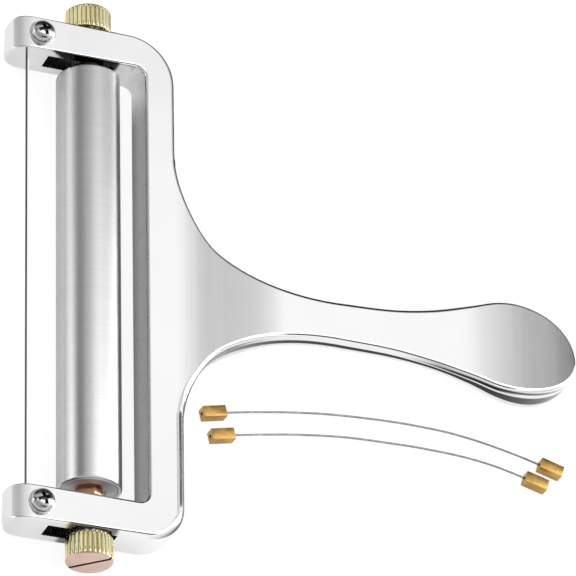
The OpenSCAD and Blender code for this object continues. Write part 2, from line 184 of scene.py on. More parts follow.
def colour(name, default, description):
    """A colour of the scene."""
    return bpy.props.FloatVectorProperty(
        name=name, default=default, description=description, subtype="COLOR", size=3,
        min=0.0, max=1.0,
    )


class SlicerSizes(bpy.types.PropertyGroup):
    """Sizes of the slicer that the frame leaves open"""

    arm_edge: length("Arm edge", 0.0008, "Rounding along the arms")
    bar_edge: length("Bar edge", 0.0016, "Rounding along the bar's outer side above the handle")
    bar_edge_low: length("Lower bar edge", 0.0028, "Rounding along the bar's outer side below it")
    paddle_edge: length("Paddle edge", 0.0012, "Rounding around the paddle's front")
    neck_edge: length("Neck edge", 0.0014, "Rounding along the back of the neck")
    knurl_depth: length("Knurl depth", 0.00038, "Depth of the grooves around the thumbscrews")
    rim: length("Roller rim", 0.0005, "Rounding at the ends of the roller")
    block_edge: length("Block edge", 0.00012, "Bevel along the edges of the wire blocks")
    wire: length("Wire", 0.0005, "Diameter of the cutting wire and the spare wires")
    knurl_count: bpy.props.IntProperty(
        name="Knurl ridges", default=30, description="Ridges around each thumbscrew", min=12
    )


class SlicerColours(bpy.types.PropertyGroup):
    """Colours of the slicer's metals"""

    chrome: colour("Chrome", (0.93, 0.93, 0.935), "Plating of the casting")
    # How light the window's rear wall is under its painted shade
    window_shade_share: bpy.props.FloatProperty(
        name="Window wall", default=0.43, min=0.0, max=1.0, subtype="FACTOR",
        description="How light the window's dull rear wall is, as a share of the plating",
    )
    # The slot walls' colour is partly unpolished metal and partly painted shade inside the slots
    slot: colour("Slot walls", (0.2, 0.2, 0.205), "Unpolished walls of the slots")
    roller: colour("Roller", (0.76, 0.76, 0.77), "Brushed steel of the roller")
    steel: colour("Turned steel", (0.88, 0.88, 0.89), "End caps and the rod")
    screw: colour("Screw steel", (0.60, 0.60, 0.61), "Pan-head screws and their washers")
    # The recess colour is painted shade inside the screws' cross recesses
    recess: colour("Screw recess", (0.14, 0.14, 0.14), "Pressed recess of the pan-head screws")
    washer: colour("Lock washer", (0.30, 0.28, 0.26), "Toothed washers under the thumbscrews")
    # The cutting wire is a darker copy of the spare wires' drawn steel: painted shade
    wire: colour("Cutting wire", (0.16, 0.16, 0.17), "Drawn steel of the cutting wire")
    spare_wire: colour("Spare wires", (0.34, 0.34, 0.36), "Bright drawn steel of the spare wires")
    knurl: colour("Knurled brass", (0.95, 0.86, 0.50), "Sides of the thumbscrews")
    knob_end: colour("Knob end", (0.68, 0.49, 0.42), "Turned ends of the thumbscrews")
    copper: colour("Copper brass", (0.62, 0.37, 0.24), "Hexagonal bushes")
    block: colour("Block brass", (0.50, 0.31, 0.10), "Square blocks at the ends of the wires")


def sizes():
    """The slicer's sizes, in metres."""
    return bpy.context.scene.slicer_sizes


def colours():
    """The slicer's colours."""
    return bpy.context.scene.slicer_colours


# Node groups and materials


def feed(links, value, socket):
    """Links an output to a socket, or writes a number into it."""
    if isinstance(value, bpy.types.NodeSocket):
        links.new(value, socket)
    else:
        socket.default_value = value


def maths(nodes, links, operation, *values):
    """A Math node with outputs or numbers as its inputs; returns its output."""
    node = nodes.new("ShaderNodeMath")
    node.operation = operation
    for socket, value in zip(node.inputs, values):
        feed(links, value, socket)
    return node.outputs[0]


def soft_step(nodes, links, value, low, high):
    """0 at low, 1 at high, smooth between; low may be the larger."""
    node = nodes.new("ShaderNodeMapRange")
    node.interpolation_type = "SMOOTHSTEP"
    links.new(value, node.inputs["Value"])
    node.inputs["From Min"].default_value = low
    node.inputs["From Max"].default_value = high
    return node.outputs["Result"]


def noise(group, vector, scale, detail, roughness=0.5):
    """The factor of a Noise Texture in a node group; its scale is an output or a number."""
    node = group.nodes.new("ShaderNodeTexNoise")
    node.inputs["Detail"].default_value = detail
    node.inputs["Roughness"].default_value = roughness
    group.links.new(vector, node.inputs["Vector"])
    feed(group.links, scale, node.inputs["Scale"])
    return node.outputs["Fac"]


def shader_group(name, inputs, outputs):
    """A new shader node group with a Vector and named numbers as inputs, and named outputs."""
    group = bpy.data.node_groups.new(name, "ShaderNodeTree")
    sockets = group.interface
    sockets.new_socket(name="Vector", in_out="INPUT", socket_type="NodeSocketVector")
    for key, default in inputs.items():
        item = sockets.new_socket(name=key, in_out="INPUT", socket_type="NodeSocketFloat")
        item.default_value = default
    for key in outputs:
        sockets.new_socket(name=key, in_out="OUTPUT", socket_type="NodeSocketFloat")
    return group


def brushed_group():
    """Fine lines left by a brush or a lathe, drawn out along the axes that the input squeezes."""
    name = "Brushed Lines"
    if name in bpy.data.node_groups:
        return bpy.data.node_groups[name]
    group = shader_group(name, {"Lines": 6000.0, "Patches": 120.0}, ["Height", "Streaks"])
    inside = group.nodes.new("NodeGroupInput").outputs
    outside = group.nodes.new("NodeGroupOutput").inputs
    fine = noise(group, inside["Vector"], inside["Lines"], 3.0, 0.6)
    broad = noise(group, inside["Vector"], inside["Patches"], 4.0)
    both = maths(group.nodes, group.links, "MULTIPLY_ADD", broad, 0.5, fine)
    group.links.new(both, outside["Height"])
    group.links.new(broad, outside["Streaks"])
    return group


# Scale of the casting's slow unevenness, and the part of the cloud that turns into roughness
WAVE_SCALE, CLOUD_LOW, CLOUD_HIGH = 55.0, 0.35, 0.7


def handling_group():
    """Cloudy marks of handling and polishing, as roughness, as a mask and as a soft unevenness."""
    name = "Handling Marks"
    if name in bpy.data.node_groups:
        return bpy.data.node_groups[name]
    group = shader_group(
        name, {"Cloud Scale": 60.0, "Low": 0.05, "High": 0.12}, ["Roughness", "Cloud", "Waviness"]
    )
    inside = group.nodes.new("NodeGroupInput").outputs
    outside = group.nodes.new("NodeGroupOutput").inputs
    cloud = noise(group, inside["Vector"], inside["Cloud Scale"], 5.0)
    rough = soft_step(group.nodes, group.links, cloud, CLOUD_LOW, CLOUD_HIGH)
    group.links.new(inside["Low"], rough.node.inputs["To Min"])
    group.links.new(inside["High"], rough.node.inputs["To Max"])
    group.links.new(rough, outside["Roughness"])
    group.links.new(cloud, outside["Cloud"])
    group.links.new(noise(group, inside["Vector"], WAVE_SCALE, 1.0), outside["Waviness"])
    return group


def shade(base, factor):
    """A darker or lighter copy of a colour."""
    return tuple(min(1.0, c * factor) for c in base)


class Metal:
    """A material under construction: a Principled shader and the nodes that feed it."""

    def __init__(self, name, base):
        self.base = tuple(base)
        self.material = bpy.data.materials.new(name)
        self.material.use_nodes = True
        self.nodes = self.material.node_tree.nodes
        self.links = self.material.node_tree.links
        self.shader = self.nodes["Principled BSDF"]
        self.shader.inputs["Metallic"].default_value = 1.0
        self.shader.inputs["Base Color"].default_value = (*base, 1.0)
        self.place = self.nodes.new("ShaderNodeTexCoord").outputs["Object"]
        self.axes = None

    def group(self, tree, vector=None, **values):
        """The outputs of a node group with its own numbers as inputs."""
        node = self.nodes.new("ShaderNodeGroup")
        node.node_tree = tree
        self.links.new(vector or self.place, node.inputs["Vector"])
        for key, value in values.items():
            node.inputs[key.replace("_", " ")].default_value = value
        return node.outputs

    def stretched(self, scale):
        """Object coordinates squeezed or stretched along the axes."""
        node = self.nodes.new("ShaderNodeMapping")
        node.inputs["Scale"].default_value = scale
        self.links.new(self.place, node.inputs["Vector"])
        return node.outputs["Vector"]

    def bump(self, height, strength, distance, before=None):
        """A normal bent by a height, and by another normal if there is one."""
        node = self.nodes.new("ShaderNodeBump")
        node.inputs["Strength"].default_value = strength
        node.inputs["Distance"].default_value = distance
        self.links.new(height, node.inputs["Height"])
        if before:
            self.links.new(before, node.inputs["Normal"])
        return node.outputs["Normal"]

    def tint(self, mask, low, high, start=0.3, end=0.7):
        """Feeds Base Color with a blend of two colours by a mask."""
        ramp = self.nodes.new("ShaderNodeValToRGB")
        elements = ramp.color_ramp.elements
        for element, position, tone in zip(elements, (start, end), (low, high)):
            element.position = position
            element.color = (*tone, 1.0)
        self.links.new(mask, ramp.inputs["Fac"])
        self.links.new(ramp.outputs["Color"], self.shader.inputs["Base Color"])

    def handled(self, scale, low, high, *shares):
        """Handling marks in the roughness and, if two shares are given, in the colour."""
        marks = self.group(handling_group(), Cloud_Scale=scale, Low=low, High=high)
        self.links.new(marks["Roughness"], self.shader.inputs["Roughness"])
        if shares:
            self.tint(marks["Cloud"], *(shade(self.base, share) for share in shares))
        return marks

    def lined(self, lines, patches, strength, height, stretch=None, shares=()):
        """Lines of a brush or a lathe in the relief and, if shares are given, in the colour."""
        vector = self.stretched(stretch) if stretch else None
        marks = self.group(brushed_group(), vector, Lines=lines, Patches=patches)
        if shares:
            self.tint(marks["Streaks"], *(shade(self.base, share) for share in shares))
        self.to_normal(self.bump(marks["Height"], strength, height))

    def maths(self, operation, *values):
        """A Math node of this material; returns its output."""
        return maths(self.nodes, self.links, operation, *values)

    def step(self, value, low, high):
        """A smooth step in this material."""
        return soft_step(self.nodes, self.links, value, low, high)

    def both(self, first, *others):
        """A mask that is 1 where all of the masks are."""
        for mask in others:
            first = self.maths("MULTIPLY", first, mask)
        return first

    def away(self, value, middle):
        """Distance of a value from a middle, to either side."""
        return self.maths("ABSOLUTE", self.maths("SUBTRACT", value, middle))

    def attribute(self, name):
        """A value that the mesh carries at its points."""
        node = self.nodes.new("ShaderNodeAttribute")
        node.attribute_name = name
        return node.outputs["Fac"]

    def split(self, vector):
        """The X, Y and Z of a vector."""
        node = self.nodes.new("ShaderNodeSeparateXYZ")
        self.links.new(vector, node.inputs["Vector"])
        return tuple(node.outputs)

    def coordinates(self):
        """Object coordinates in millimetres about the middle of the cutting wire."""
        if not self.axes:
            node = self.nodes.new("ShaderNodeMapping")
            node.inputs["Location"].default_value = -WIRE_MIDDLE / MM
            node.inputs["Scale"].default_value = (1 / MM,) * 3
            self.links.new(self.place, node.inputs["Vector"])
            self.axes = self.split(node.outputs["Vector"])
        return self.axes

    def lean(self):
        """How far the surface leans towards +X, as the X of its normal."""
        return self.split(self.nodes.new("ShaderNodeNewGeometry").outputs["Normal"])[0]

    def dim(self, mask, share):
        """Brings Base Color down to a share of itself where the mask is 1."""
        base = self.shader.inputs["Base Color"]
        factor = self.maths("MULTIPLY_ADD", mask, share - 1.0, 1.0)
        dim = self.nodes.new("ShaderNodeVectorMath")
        dim.operation = "SCALE"
        self.links.new(base.links[0].from_socket, dim.inputs["Vector"])
        self.links.new(factor, dim.inputs["Scale"])
        self.links.new(dim.outputs["Vector"], base)

    def to_normal(self, output):
        """Feeds the shader's Normal."""
        self.links.new(output, self.shader.inputs["Normal"])


# Where polishing has left the casting's front leaning a little towards +X or back from it. Each
# row: start and end along X in millimetres, and the steepest slope between them.
POLISHED_SLOPES = [(34.5, 46.7, -0.33), (40.0, 64.0, 0.17), (101.0, 137.0, 0.146)]
# The steepest slope of a smooth step, as a multiple of its mean slope
STEEPEST = 1.5
# Strength and height in metres of the casting's unevenness
CAST_WAVES = 0.12, 0.0004

# The masks of painted reflections and painted shade that dim the plating. Each pair of values runs
# from no effect to full effect. Depths are shares of the way from front to back, and places are in
# millimetres.
# A painted dark reflection along the handle's side: its middle at the root and beyond, half width,
# softness
BAND_ROOT, BAND_DEPTH, BAND_HALF, BAND_SOFT = 0.25, 0.56, 0.19, 0.08
BAND_START, BAND_SHIFT = (BAR_END + 2, BAR_END + 8), (BAR_END + 6, BAR_END + 30)
# A second painted dark reflection, close under the paddle's front
UNDER_RISE, UNDER_FALL = (0.02, 0.05), (0.24, 0.16)
UNDER_START, UNDER_END = (BAR_END + 56, BAR_END + 70), (BAR_END + 88, BAR_END + 80)
# A painted dark reflection line on the rounded edge around the lower corner and up the bar, outside
# the window
LINE_RISE, LINE_FALL = (0.02, 0.045), (0.13, 0.09)
LINE_OUTSIDE, LINE_SOFT = 1.2, 1.0
LINE_START, LINE_BELOW = (BAR_END - 9, BAR_END - 1), (-6, -12)
# Painted shade on the arms' tips, along X
TIP_SHADE = (2.5, -5.0)
# Painted shade around the thumbscrews' washers, on the arms' outer faces
WASHER_SHADE_X, WASHER_SHADE_REACH = AXLE_X - 0.6, (6.6, 5.2)
WASHER_SHADE_FACE = (ARM_END - 0.6, ARM_END - 0.3)
# A shade on the arms' inner faces in front of the slot; its left edge slants with Z
SHADE_LEFT, SHADE_RIGHT, SHADE_SLANT = (10.6, 12.0), (22.0, 21.0), 1.3
SHADE_FRONT, SHADE_FACE = (0.5, 2.2), (HALF_SPAN + 0.3, HALF_SPAN + 0.1)
# What each of them leaves of the plating's colour
BAND_SHARE, LINE_SHARE, TIP_SHADE_SHARE, WASHER_SHADE_SHARE, SHADE_SHARE = 0.03, 0.12, 0.84, 0.2, 0.03
# Where painted shade darkens the window's rear wall: along Y, by its lean and, further still,
# towards the back
WALL_SHADE_BELOW, WALL_SHADE_LEAN = (HALF_SPAN - 0.5, HALF_SPAN - 14), (-0.3, -0.9)
WALL_SHADE_BACK, WALL_SHADE_BACK_SHARE = (1.0, -5.0), 0.45
# Painted shade where the roller turns away from the light, as the X of its normal
ROLLER_FADE, ROLLER_SHARE = (-0.7, -1.0), 0.68


def polished_relief(metal):
    """Height in metres of the soft slopes that polishing has left, along X."""
    x = metal.coordinates()[0]
    height = 0.0
    for start, end, slope in POLISHED_SLOPES:
        fall = -slope * (end - start) * MM / STEEPEST
        height = metal.maths("MULTIPLY_ADD", metal.step(x, start, end), fall, height)
    return height


def painted_side_reflection(metal):
    """Mask of the painted dark reflections that run along the handle's side, between front and
    back.
    """
    depth = metal.attribute("depth")
    x = metal.coordinates()[0]
    shifted = metal.step(x, *BAND_SHIFT)
    middle = metal.maths("MULTIPLY_ADD", shifted, BAND_DEPTH - BAND_ROOT, BAND_ROOT)
    near = metal.step(metal.away(depth, middle), BAND_HALF + BAND_SOFT, BAND_HALF)
    off_front = metal.step(depth, *UNDER_RISE)
    band = metal.both(near, off_front, metal.step(x, *BAND_START))
    under = metal.both(off_front, metal.step(depth, *UNDER_FALL))
    reach = metal.both(metal.step(x, *UNDER_START), metal.step(x, *UNDER_END))
    return metal.maths("MAXIMUM", band, metal.both(under, reach))


def painted_edge_reflection(metal):
    """Mask of the painted dark reflection line that follows the rounded edge round the lower corner
    and the bar.
    """
    depth = metal.attribute("depth")
    x, y = metal.coordinates()[:2]
    line = metal.both(metal.step(depth, *LINE_RISE), metal.step(depth, *LINE_FALL))
    right = metal.maths("SUBTRACT", x, THROAT + LINE_OUTSIDE)
    below = metal.maths("SUBTRACT", -HALF_SPAN - LINE_OUTSIDE, y)
    outside = metal.step(metal.maths("MAXIMUM", right, below), 0.0, LINE_SOFT)
    return metal.both(line, outside, metal.step(x, *LINE_START), metal.step(y, *LINE_BELOW))


def washer_painted_shade(metal):
    """Mask of the painted shade around the thumbscrews' washers, on the arms' outer faces."""
    x, y = metal.coordinates()[:2]
    outer = metal.step(metal.maths("ABSOLUTE", y), *WASHER_SHADE_FACE)
    return metal.both(outer, metal.step(metal.away(x, WASHER_SHADE_X), *WASHER_SHADE_REACH))


def slot_shade(metal):
    """Mask of the shade on the arms' inner faces, in front of the slot."""
    x, y, z = metal.coordinates()
    slanted = metal.maths("MULTIPLY_ADD", z, SHADE_SLANT, x)
    return metal.both(
        metal.step(slanted, *SHADE_LEFT), metal.step(x, *SHADE_RIGHT), metal.step(z, *SHADE_FRONT),
        metal.step(metal.maths("ABSOLUTE", y), *SHADE_FACE),
    )


def chrome_plate():
    """Polished plating with faint handling marks over a slightly wavy casting, with painted
    reflections and painted shade.
    """
    metal = Metal("chrome_plate", colours().chrome)
    marks = metal.handled(70.0, 0.09, 0.15, 0.96, 1.01)
    metal.dim(painted_side_reflection(metal), BAND_SHARE)
    metal.dim(painted_edge_reflection(metal), LINE_SHARE)
    # Painted shade on the arms' tips
    metal.dim(metal.step(metal.coordinates()[0], *TIP_SHADE), TIP_SHADE_SHARE)
    metal.dim(washer_painted_shade(metal), WASHER_SHADE_SHARE)
    metal.dim(slot_shade(metal), SHADE_SHARE)
    leaning = metal.bump(polished_relief(metal), 1.0, 1.0)
    metal.to_normal(metal.bump(marks["Waviness"], *CAST_WAVES, leaning))
    return metal.material


def window_metal():
    """The window's rear wall, less polished than the rest of the plating, and darkened lower down
    and towards the back by painted shade.
    """
    metal = Metal("window_wall", colours().chrome)
    marks = metal.handled(240.0, 0.2, 0.3, 0.93, 1.0)
    y, z = metal.coordinates()[1:]
    below = metal.step(y, *WALL_SHADE_BELOW)
    metal.dim(metal.both(metal.step(metal.lean(), *WALL_SHADE_LEAN), below), colours().window_shade_share)
    metal.dim(metal.both(metal.step(z, *WALL_SHADE_BACK), below), WALL_SHADE_BACK_SHARE)
    metal.to_normal(metal.bump(marks["Waviness"], *CAST_WAVES))
    return metal.material


def slot_metal():
    """Cut walls of the slots and pockets, dark partly because they are unpolished and partly as
    painted shade inside the slots.
    """
    metal = Metal("slot_walls", colours().slot)
    metal.handled(900.0, 0.2, 0.35, 0.6, 1.6)
    return metal.material


def roller_steel():
    """Stainless steel brushed around the roller, with painted shade on its side away from the
    light.
    """
    metal = Metal("roller_steel", colours().roller)
    metal.lined(6500.0, 2600.0, 0.05, 0.00002, (0.02, 1.0, 0.02), (0.96, 1.03))
    metal.dim(metal.step(metal.lean(), *ROLLER_FADE), ROLLER_SHARE)
    metal.handled(45.0, 0.3, 0.34)
    metal.shader.inputs["Anisotropic"].default_value = 0.8
    metal.shader.inputs["Anisotropic Rotation"].default_value = 0.25
    tangent = metal.nodes.new("ShaderNodeTangent")
    tangent.direction_type = "RADIAL"
    tangent.axis = "Y"
    metal.links.new(tangent.outputs["Tangent"], metal.shader.inputs["Tangent"])
    return metal.material


def turned_steel(name, base, low, high):
    """Turned and polished steel with faint lathe lines."""
    metal = Metal(name, base)
    metal.handled(260.0, low, high, 0.88, 1.04)
    metal.lined(5200.0, 700.0, 0.12, 0.00002)
    return metal.material


def wire_steel(name, base):
    """Drawn steel wire with lines along it."""
    metal = Metal(name, base)
    metal.lined(9000.0, 900.0, 0.2, 0.00001, (1.0, 0.02, 1.0), (0.8, 1.25))
    metal.handled(300.0, 0.22, 0.34)
    return metal.material


def knurled_brass():
    """Pale brass of the knurled sides, with painted shade in the grooves."""
    metal = Metal("knurled_brass", colours().knurl)
    metal.handled(420.0, 0.12, 0.22)
    metal.tint(metal.attribute("groove"), metal.base, shade(metal.base, 0.45), 0.4, 1.0)
    metal.lined(4200.0, 900.0, 0.15, 0.00002)
    return metal.material


def copper_brass(name, base):
    """Reddish brass of the hexagonal bushes."""
    metal = Metal(name, base)
    metal.handled(520.0, 0.25, 0.42, 0.82, 1.2)
    metal.lined(3600.0, 900.0, 0.25, 0.00003)
    return metal.material


def turned_brass():
    """Pinkish turned ends of the thumbscrews."""
    metal = Metal("turned_brass", colours().knob_end)
    metal.handled(480.0, 0.22, 0.36, 0.9, 1.1)
    metal.lined(3600.0, 900.0, 0.15, 0.00002)
    return metal.material


def block_brass():
    """Sawn and drawn brass of the wire blocks, dulled by handling."""
    metal = Metal("block_brass", colours().block)
    metal.handled(340.0, 0.3, 0.5, 0.74, 1.3)
    metal.lined(6000.0, 800.0, 0.3, 0.00003, (0.06, 1.0, 1.0))
    return metal.material


def dark_opening():
    """Painted shade: the dark inside of the drilled openings and driver slots."""
    metal = Metal("dark_opening", (0.04, 0.025, 0.018))
    metal.shader.inputs["Metallic"].default_value = 0.5
    marks = metal.handled(800.0, 0.4, 0.7)
    metal.tint(marks["Cloud"], (0.025, 0.015, 0.011), (0.07, 0.042, 0.028))
    return metal.material


MATERIAL_MAKERS = {
    "chrome": chrome_plate,
    "window": window_metal,
    "slot": slot_metal,
    "roller": roller_steel,
    "cap": lambda: turned_steel("cap_steel", colours().steel, 0.46, 0.56),
    "screw": lambda: turned_steel("screw_steel", colours().screw, 0.16, 0.26),
    # Painted shade inside the screws' cross recesses
    "recess": lambda: turned_steel("screw_recess", colours().recess, 0.25, 0.35),
    "washer": lambda: turned_steel("lock_washer_steel", colours().washer, 0.15, 0.3),
    # The cutting wire's steel is darkened with painted shade
    "wire": lambda: wire_steel("wire_steel", colours().wire),
    "spare": lambda: wire_steel("spare_wire_steel", colours().spare_wire),
    "knurl": knurled_brass,
    "end": turned_brass,
    "copper": lambda: copper_brass("copper_brass", colours().copper),
    # Painted shadow: a darker copy of the copper for the top bush
    "shadowed copper": lambda: copper_brass("shadowed_brass", shade(colours().copper, 0.08)),
    "block": block_brass,
    "opening": dark_opening,
}
made_materials = {}


def material(key):
    """The material of that key, built once."""
    if key not in made_materials:
        made_materials[key] = MATERIAL_MAKERS[key]()
    return made_materials[key]


# Mesh helpers


def turned(profile, steps=64):
    """A closed solid turned about Z from its outline of (radius, height) points."""
    bm = bmesh.new()
    verts = [bm.verts.new((radius, 0.0, height)) for radius, height in profile]
    pairs = list(zip(verts, verts[1:]))
    if profile[0][0] > 0 and profile[-1][0] > 0:
        pairs.append((verts[-1], verts[0]))
    edges = [bm.edges.new(pair) for pair in pairs]
    bmesh.ops.spin(
        bm, geom=verts + edges, cent=(0, 0, 0), axis=(0, 0, 1), angle=math.tau, steps=steps,
        use_merge=True,
    )
    bmesh.ops.remove_doubles(bm, verts=bm.verts, dist=1e-4)
    bmesh.ops.recalc_face_normals(bm, faces=bm.faces)
    return bm


def rounded(points, radius, steps=4):
    """An outline whose marked corners are rounded: points are (radius, height, True to round)."""
    out = []
    count = len(points)
    for i, (x, y, soft) in enumerate(points):
        if not soft:
            out.append((x, y))
            continue
        corner = Vector((x, y))
        before = Vector(points[i - 1][:2]) - corner
        after = Vector(points[(i + 1) % count][:2]) - corner
        reach = min(radius, before.length / 2, after.length / 2)
        start = corner + before.normalized() * reach
        end = corner + after.normalized() * reach
        for k in range(steps + 1):
            t = k / steps
            bend = start.lerp(corner, t).lerp(corner.lerp(end, t), t)
            out.append((bend.x, bend.y))
    return out


def outwards(side, x, y=0.0, z=0.0):
    """Turns what is drawn along +Z so that it points out of the arm on that side."""
    return Matrix.Translation((x, y, z)) @ Matrix.Rotation(-side * math.pi / 2, 4, "X")


def block_mesh(low, high, bevel=0.0, segments=2):
    """A box between two corners with bevelled edges."""
    bm = bmesh.new()
    bmesh.ops.create_cube(bm, size=1.0)
    low, high = Vector(low), Vector(high)
    bmesh.ops.scale(bm, vec=high - low, verts=bm.verts)
    bmesh.ops.translate(bm, vec=(low + high) / 2, verts=bm.verts)
    if bevel:
        bmesh.ops.bevel(
            bm, geom=bm.edges, offset=bevel, offset_type="OFFSET", segments=segments,
            profile=0.5, affect="EDGES", material=-1,
        )
    return bm


def rod_mesh(radius, low, high, segments=32):
    """A straight rod along Z with flat ends."""
    bm = bmesh.new()
    bmesh.ops.create_cone(
        bm, cap_ends=True, segments=segments, radius1=radius, radius2=radius, depth=high - low
    )
    bmesh.ops.translate(bm, vec=(0, 0, (low + high) / 2), verts=bm.verts)
    return bm


def mesh_from(name, bm):
    """A mesh made from a bmesh, which is freed."""
    mesh = bpy.data.meshes.new(name)
    bm.to_mesh(mesh)
    bm.free()
    return mesh


def placed(name, data):
    """A new object in the scene."""
    made = bpy.data.objects.new(name, data)
    bpy.context.scene.collection.objects.link(made)
    return made


def add_part(bm, part):
    """Adds one bmesh to another, and frees it."""
    mesh = mesh_from("joined_part", part)
    bm.from_mesh(mesh)
    bpy.data.meshes.remove(mesh)


def grow(bm, way):
    """Draws a bmesh's flat face out into a solid; returns the face at its far end."""
    grown = bmesh.ops.extrude_face_region(bm, geom=bm.faces[:])["geom"]
    moved = [g for g in grown if isinstance(g, bmesh.types.BMVert)]
    bmesh.ops.translate(bm, vec=way, verts=moved)
    bmesh.ops.recalc_face_normals(bm, faces=bm.faces)
    return next(g for g in grown if isinstance(g, bmesh.types.BMFace))


def carve(base, cutters, names, joined=False):
    """Cuts each bmesh out of the base bmesh, and gives the cut walls the last of the materials."""
    for cutter in cutters:
        for face in cutter.faces:
            face.material_index = len(names) - 1
    body = placed("carved_body", mesh_from("carved_body", base))
    tools = [placed("cutter", mesh_from("cutter", cutter)) for cutter in cutters]
    for key in names:
        for made in (body, *tools):
            made.data.materials.append(material(key))
    for tool in tools:
        cut = body.modifiers.new("cut", "BOOLEAN")
        cut.operation = "DIFFERENCE"
        cut.solver = "EXACT"
        cut.object = tool
        cut.use_self = joined
    bpy.context.view_layer.update()
    graph = bpy.context.evaluated_depsgraph_get()
    bm = bmesh.new()
    bm.from_object(body, graph)
    for extra in [body, *tools]:
        old = extra.data
        bpy.data.objects.remove(extra)
        bpy.data.meshes.remove(old)
    return bm


def finished(name, bm, names, body, nodes=(), sharp=35.0, weighted=False):
    """Places a piece, smooths it up to the sharp angle, ties it to its body and hides the nodes it
    stands for.
    """
    bm.transform(TO_ROW)
    mesh = mesh_from(name, bm)
    mesh.shade_smooth()
    mesh.set_sharp_from_angle(angle=math.radians(sharp))
    for key in names:
        mesh.materials.append(material(key))
    made = placed(name, mesh)
    if weighted:
        weigh = made.modifiers.new("even_normals", "WEIGHTED_NORMAL")
        weigh.mode = "FACE_AREA"
        weigh.weight = 50
        weigh.keep_sharp = True
    if body:
        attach(made, body)
    if nodes:
        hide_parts(*nodes)
    return made


# The casting


def smooth_at(table, s):
    """Value at s of the smooth curve through a table's rows."""
    i = 0
    while i < len(table) - 2 and s > table[i + 1][0]:
        i += 1

    def slope(k):
        a, b = max(k - 1, 0), min(k + 1, len(table) - 1)
        return (table[b][1] - table[a][1]) / (table[b][0] - table[a][0])

    h = table[i + 1][0] - table[i][0]
    u = (s - table[i][0]) / h
    return (
        table[i][1] * (2 * u**3 - 3 * u**2 + 1) + table[i + 1][1] * (3 * u**2 - 2 * u**3)
        + slope(i) * h * (u**3 - 2 * u**2 + u) + slope(i + 1) * h * (u**3 - u**2)
    )


def ease(value, low, high):
    """0 below low, 1 above high, and a smooth step between."""
    t = min(1.0, max(0.0, (value - low) / (high - low)))
    return t * t * (3 - 2 * t)


def half_width(d):
    """Half the handle's width at a distance from the bar."""
    neck = NECK_W / 2
    if d > HANDLE_LEN - NOSE_LEN:
        share = (d - HANDLE_LEN + NOSE_LEN) / NOSE_LEN
        return PADDLE_W / 2 * math.sqrt(max(0.0, 1 - share * share))
    if d > FLARE_LEN:
        return max(neck, neck + (PADDLE_W / 2 - neck) * smooth_at(PADDLE_SHARES, d / HANDLE_LEN))
    t = min(1.0, max(0.0, (FLARE_LEN - d) / FLARE_LEN))
    return FLARE_H / 2 - (FLARE_H / 2 - neck) * (1 - t**FLARE_POWER) ** (1 / FLARE_POWER)


def arc(x, y, radius, start, end, steps):
    """Points of an arc, in degrees."""
    return [
        (
            x + radius * math.cos(math.radians(start + (end - start) * k / steps)),
            y + radius * math.sin(math.radians(start + (end - start) * k / steps)),
        )
        for k in range(steps + 1)
    ]


# Numbers of points along the outline's parts
FLARE_STEPS, HANDLE_STEPS, NOSE_STEPS, CORNER_STEPS, SMALL_STEPS, TIP_STEPS = 26, 56, 40, 20, 8, 4


def handle_places():
    """Distances from the bar at which the flare, the neck and the paddle have points."""
    flare = [
        FLARE_LEN * (1 - math.cos(math.pi / 2 * k / FLARE_STEPS)) for k in range(1, FLARE_STEPS)
    ]
    body = HANDLE_LEN - NOSE_LEN - FLARE_LEN
    return flare + [FLARE_LEN + body * k / HANDLE_STEPS for k in range(HANDLE_STEPS + 1)]


def casting_outline():
    """The casting's outline seen from the front, anticlockwise from the lower arm's tip."""
    low_end = BAR_END + BAR_SWELL
    side = [(BAR_END + d, half_width(d)) for d in handle_places()]
    nose_x = BAR_END + HANDLE_LEN - NOSE_LEN
    nose = [
        (nose_x + NOSE_LEN * math.cos(math.radians(a)), PADDLE_W / 2 * math.sin(math.radians(a)))
        for a in (-90 + 180 * k / NOSE_STEPS for k in range(1, NOSE_STEPS))
    ]
    inner = TIP_INNER_R
    return [
        *arc(TIP_R - HALF_T, TIP_R - ARM_END, TIP_R, 180, 270, SMALL_STEPS),
        *arc(
            low_end - LOW_CORNER_R, LOW_CORNER_R - ARM_END, LOW_CORNER_R, 270, 360, CORNER_STEPS
        ),
        *[(x + BAR_SWELL * (1 - ease(x, BAR_END, BAR_END + SWELL_LEN)), -y) for x, y in side],
        *nose,
        *reversed(side),
        (BAR_END, FLARE_H / 2),
        *arc(BAR_END - CORNER_R, ARM_END - CORNER_R, CORNER_R, 0, 90, CORNER_STEPS),
        *arc(TIP_R - HALF_T, ARM_END - TIP_R, TIP_R, 90, 180, SMALL_STEPS),
        *arc(inner - HALF_T, HALF_SPAN + inner, inner, 180, 270, TIP_STEPS),
        *arc(THROAT - WINDOW_R, HALF_SPAN - WINDOW_R, WINDOW_R, 90, 0, SMALL_STEPS),
        *arc(THROAT - WINDOW_R, WINDOW_R - HALF_SPAN, WINDOW_R, 0, -90, SMALL_STEPS),
        *arc(inner - HALF_T, -HALF_SPAN - inner, inner, 90, 180, TIP_STEPS),
    ]


# Where the rounding of the casting's edge changes along X. It is smaller at the arms' tips. On the
# back it grows along the neck and shrinks behind the paddle; on the front it turns into the
# paddle's.
TIP_CHANGE, TIP_EDGE_SHARE = (0.0, 6.0), 0.4
NECK_CHANGE, PADDLE_BACK, PADDLE_BACK_LESS = (40, 66), (98, 116), 0.45
PADDLE_CHANGE = (100, 118)
# Below the handle it turns into the lower bar's between these distances from the middle line
LOW_CHANGE = (18, 32)
# A point this near to the window's outline lies on it
NEAR = 0.01


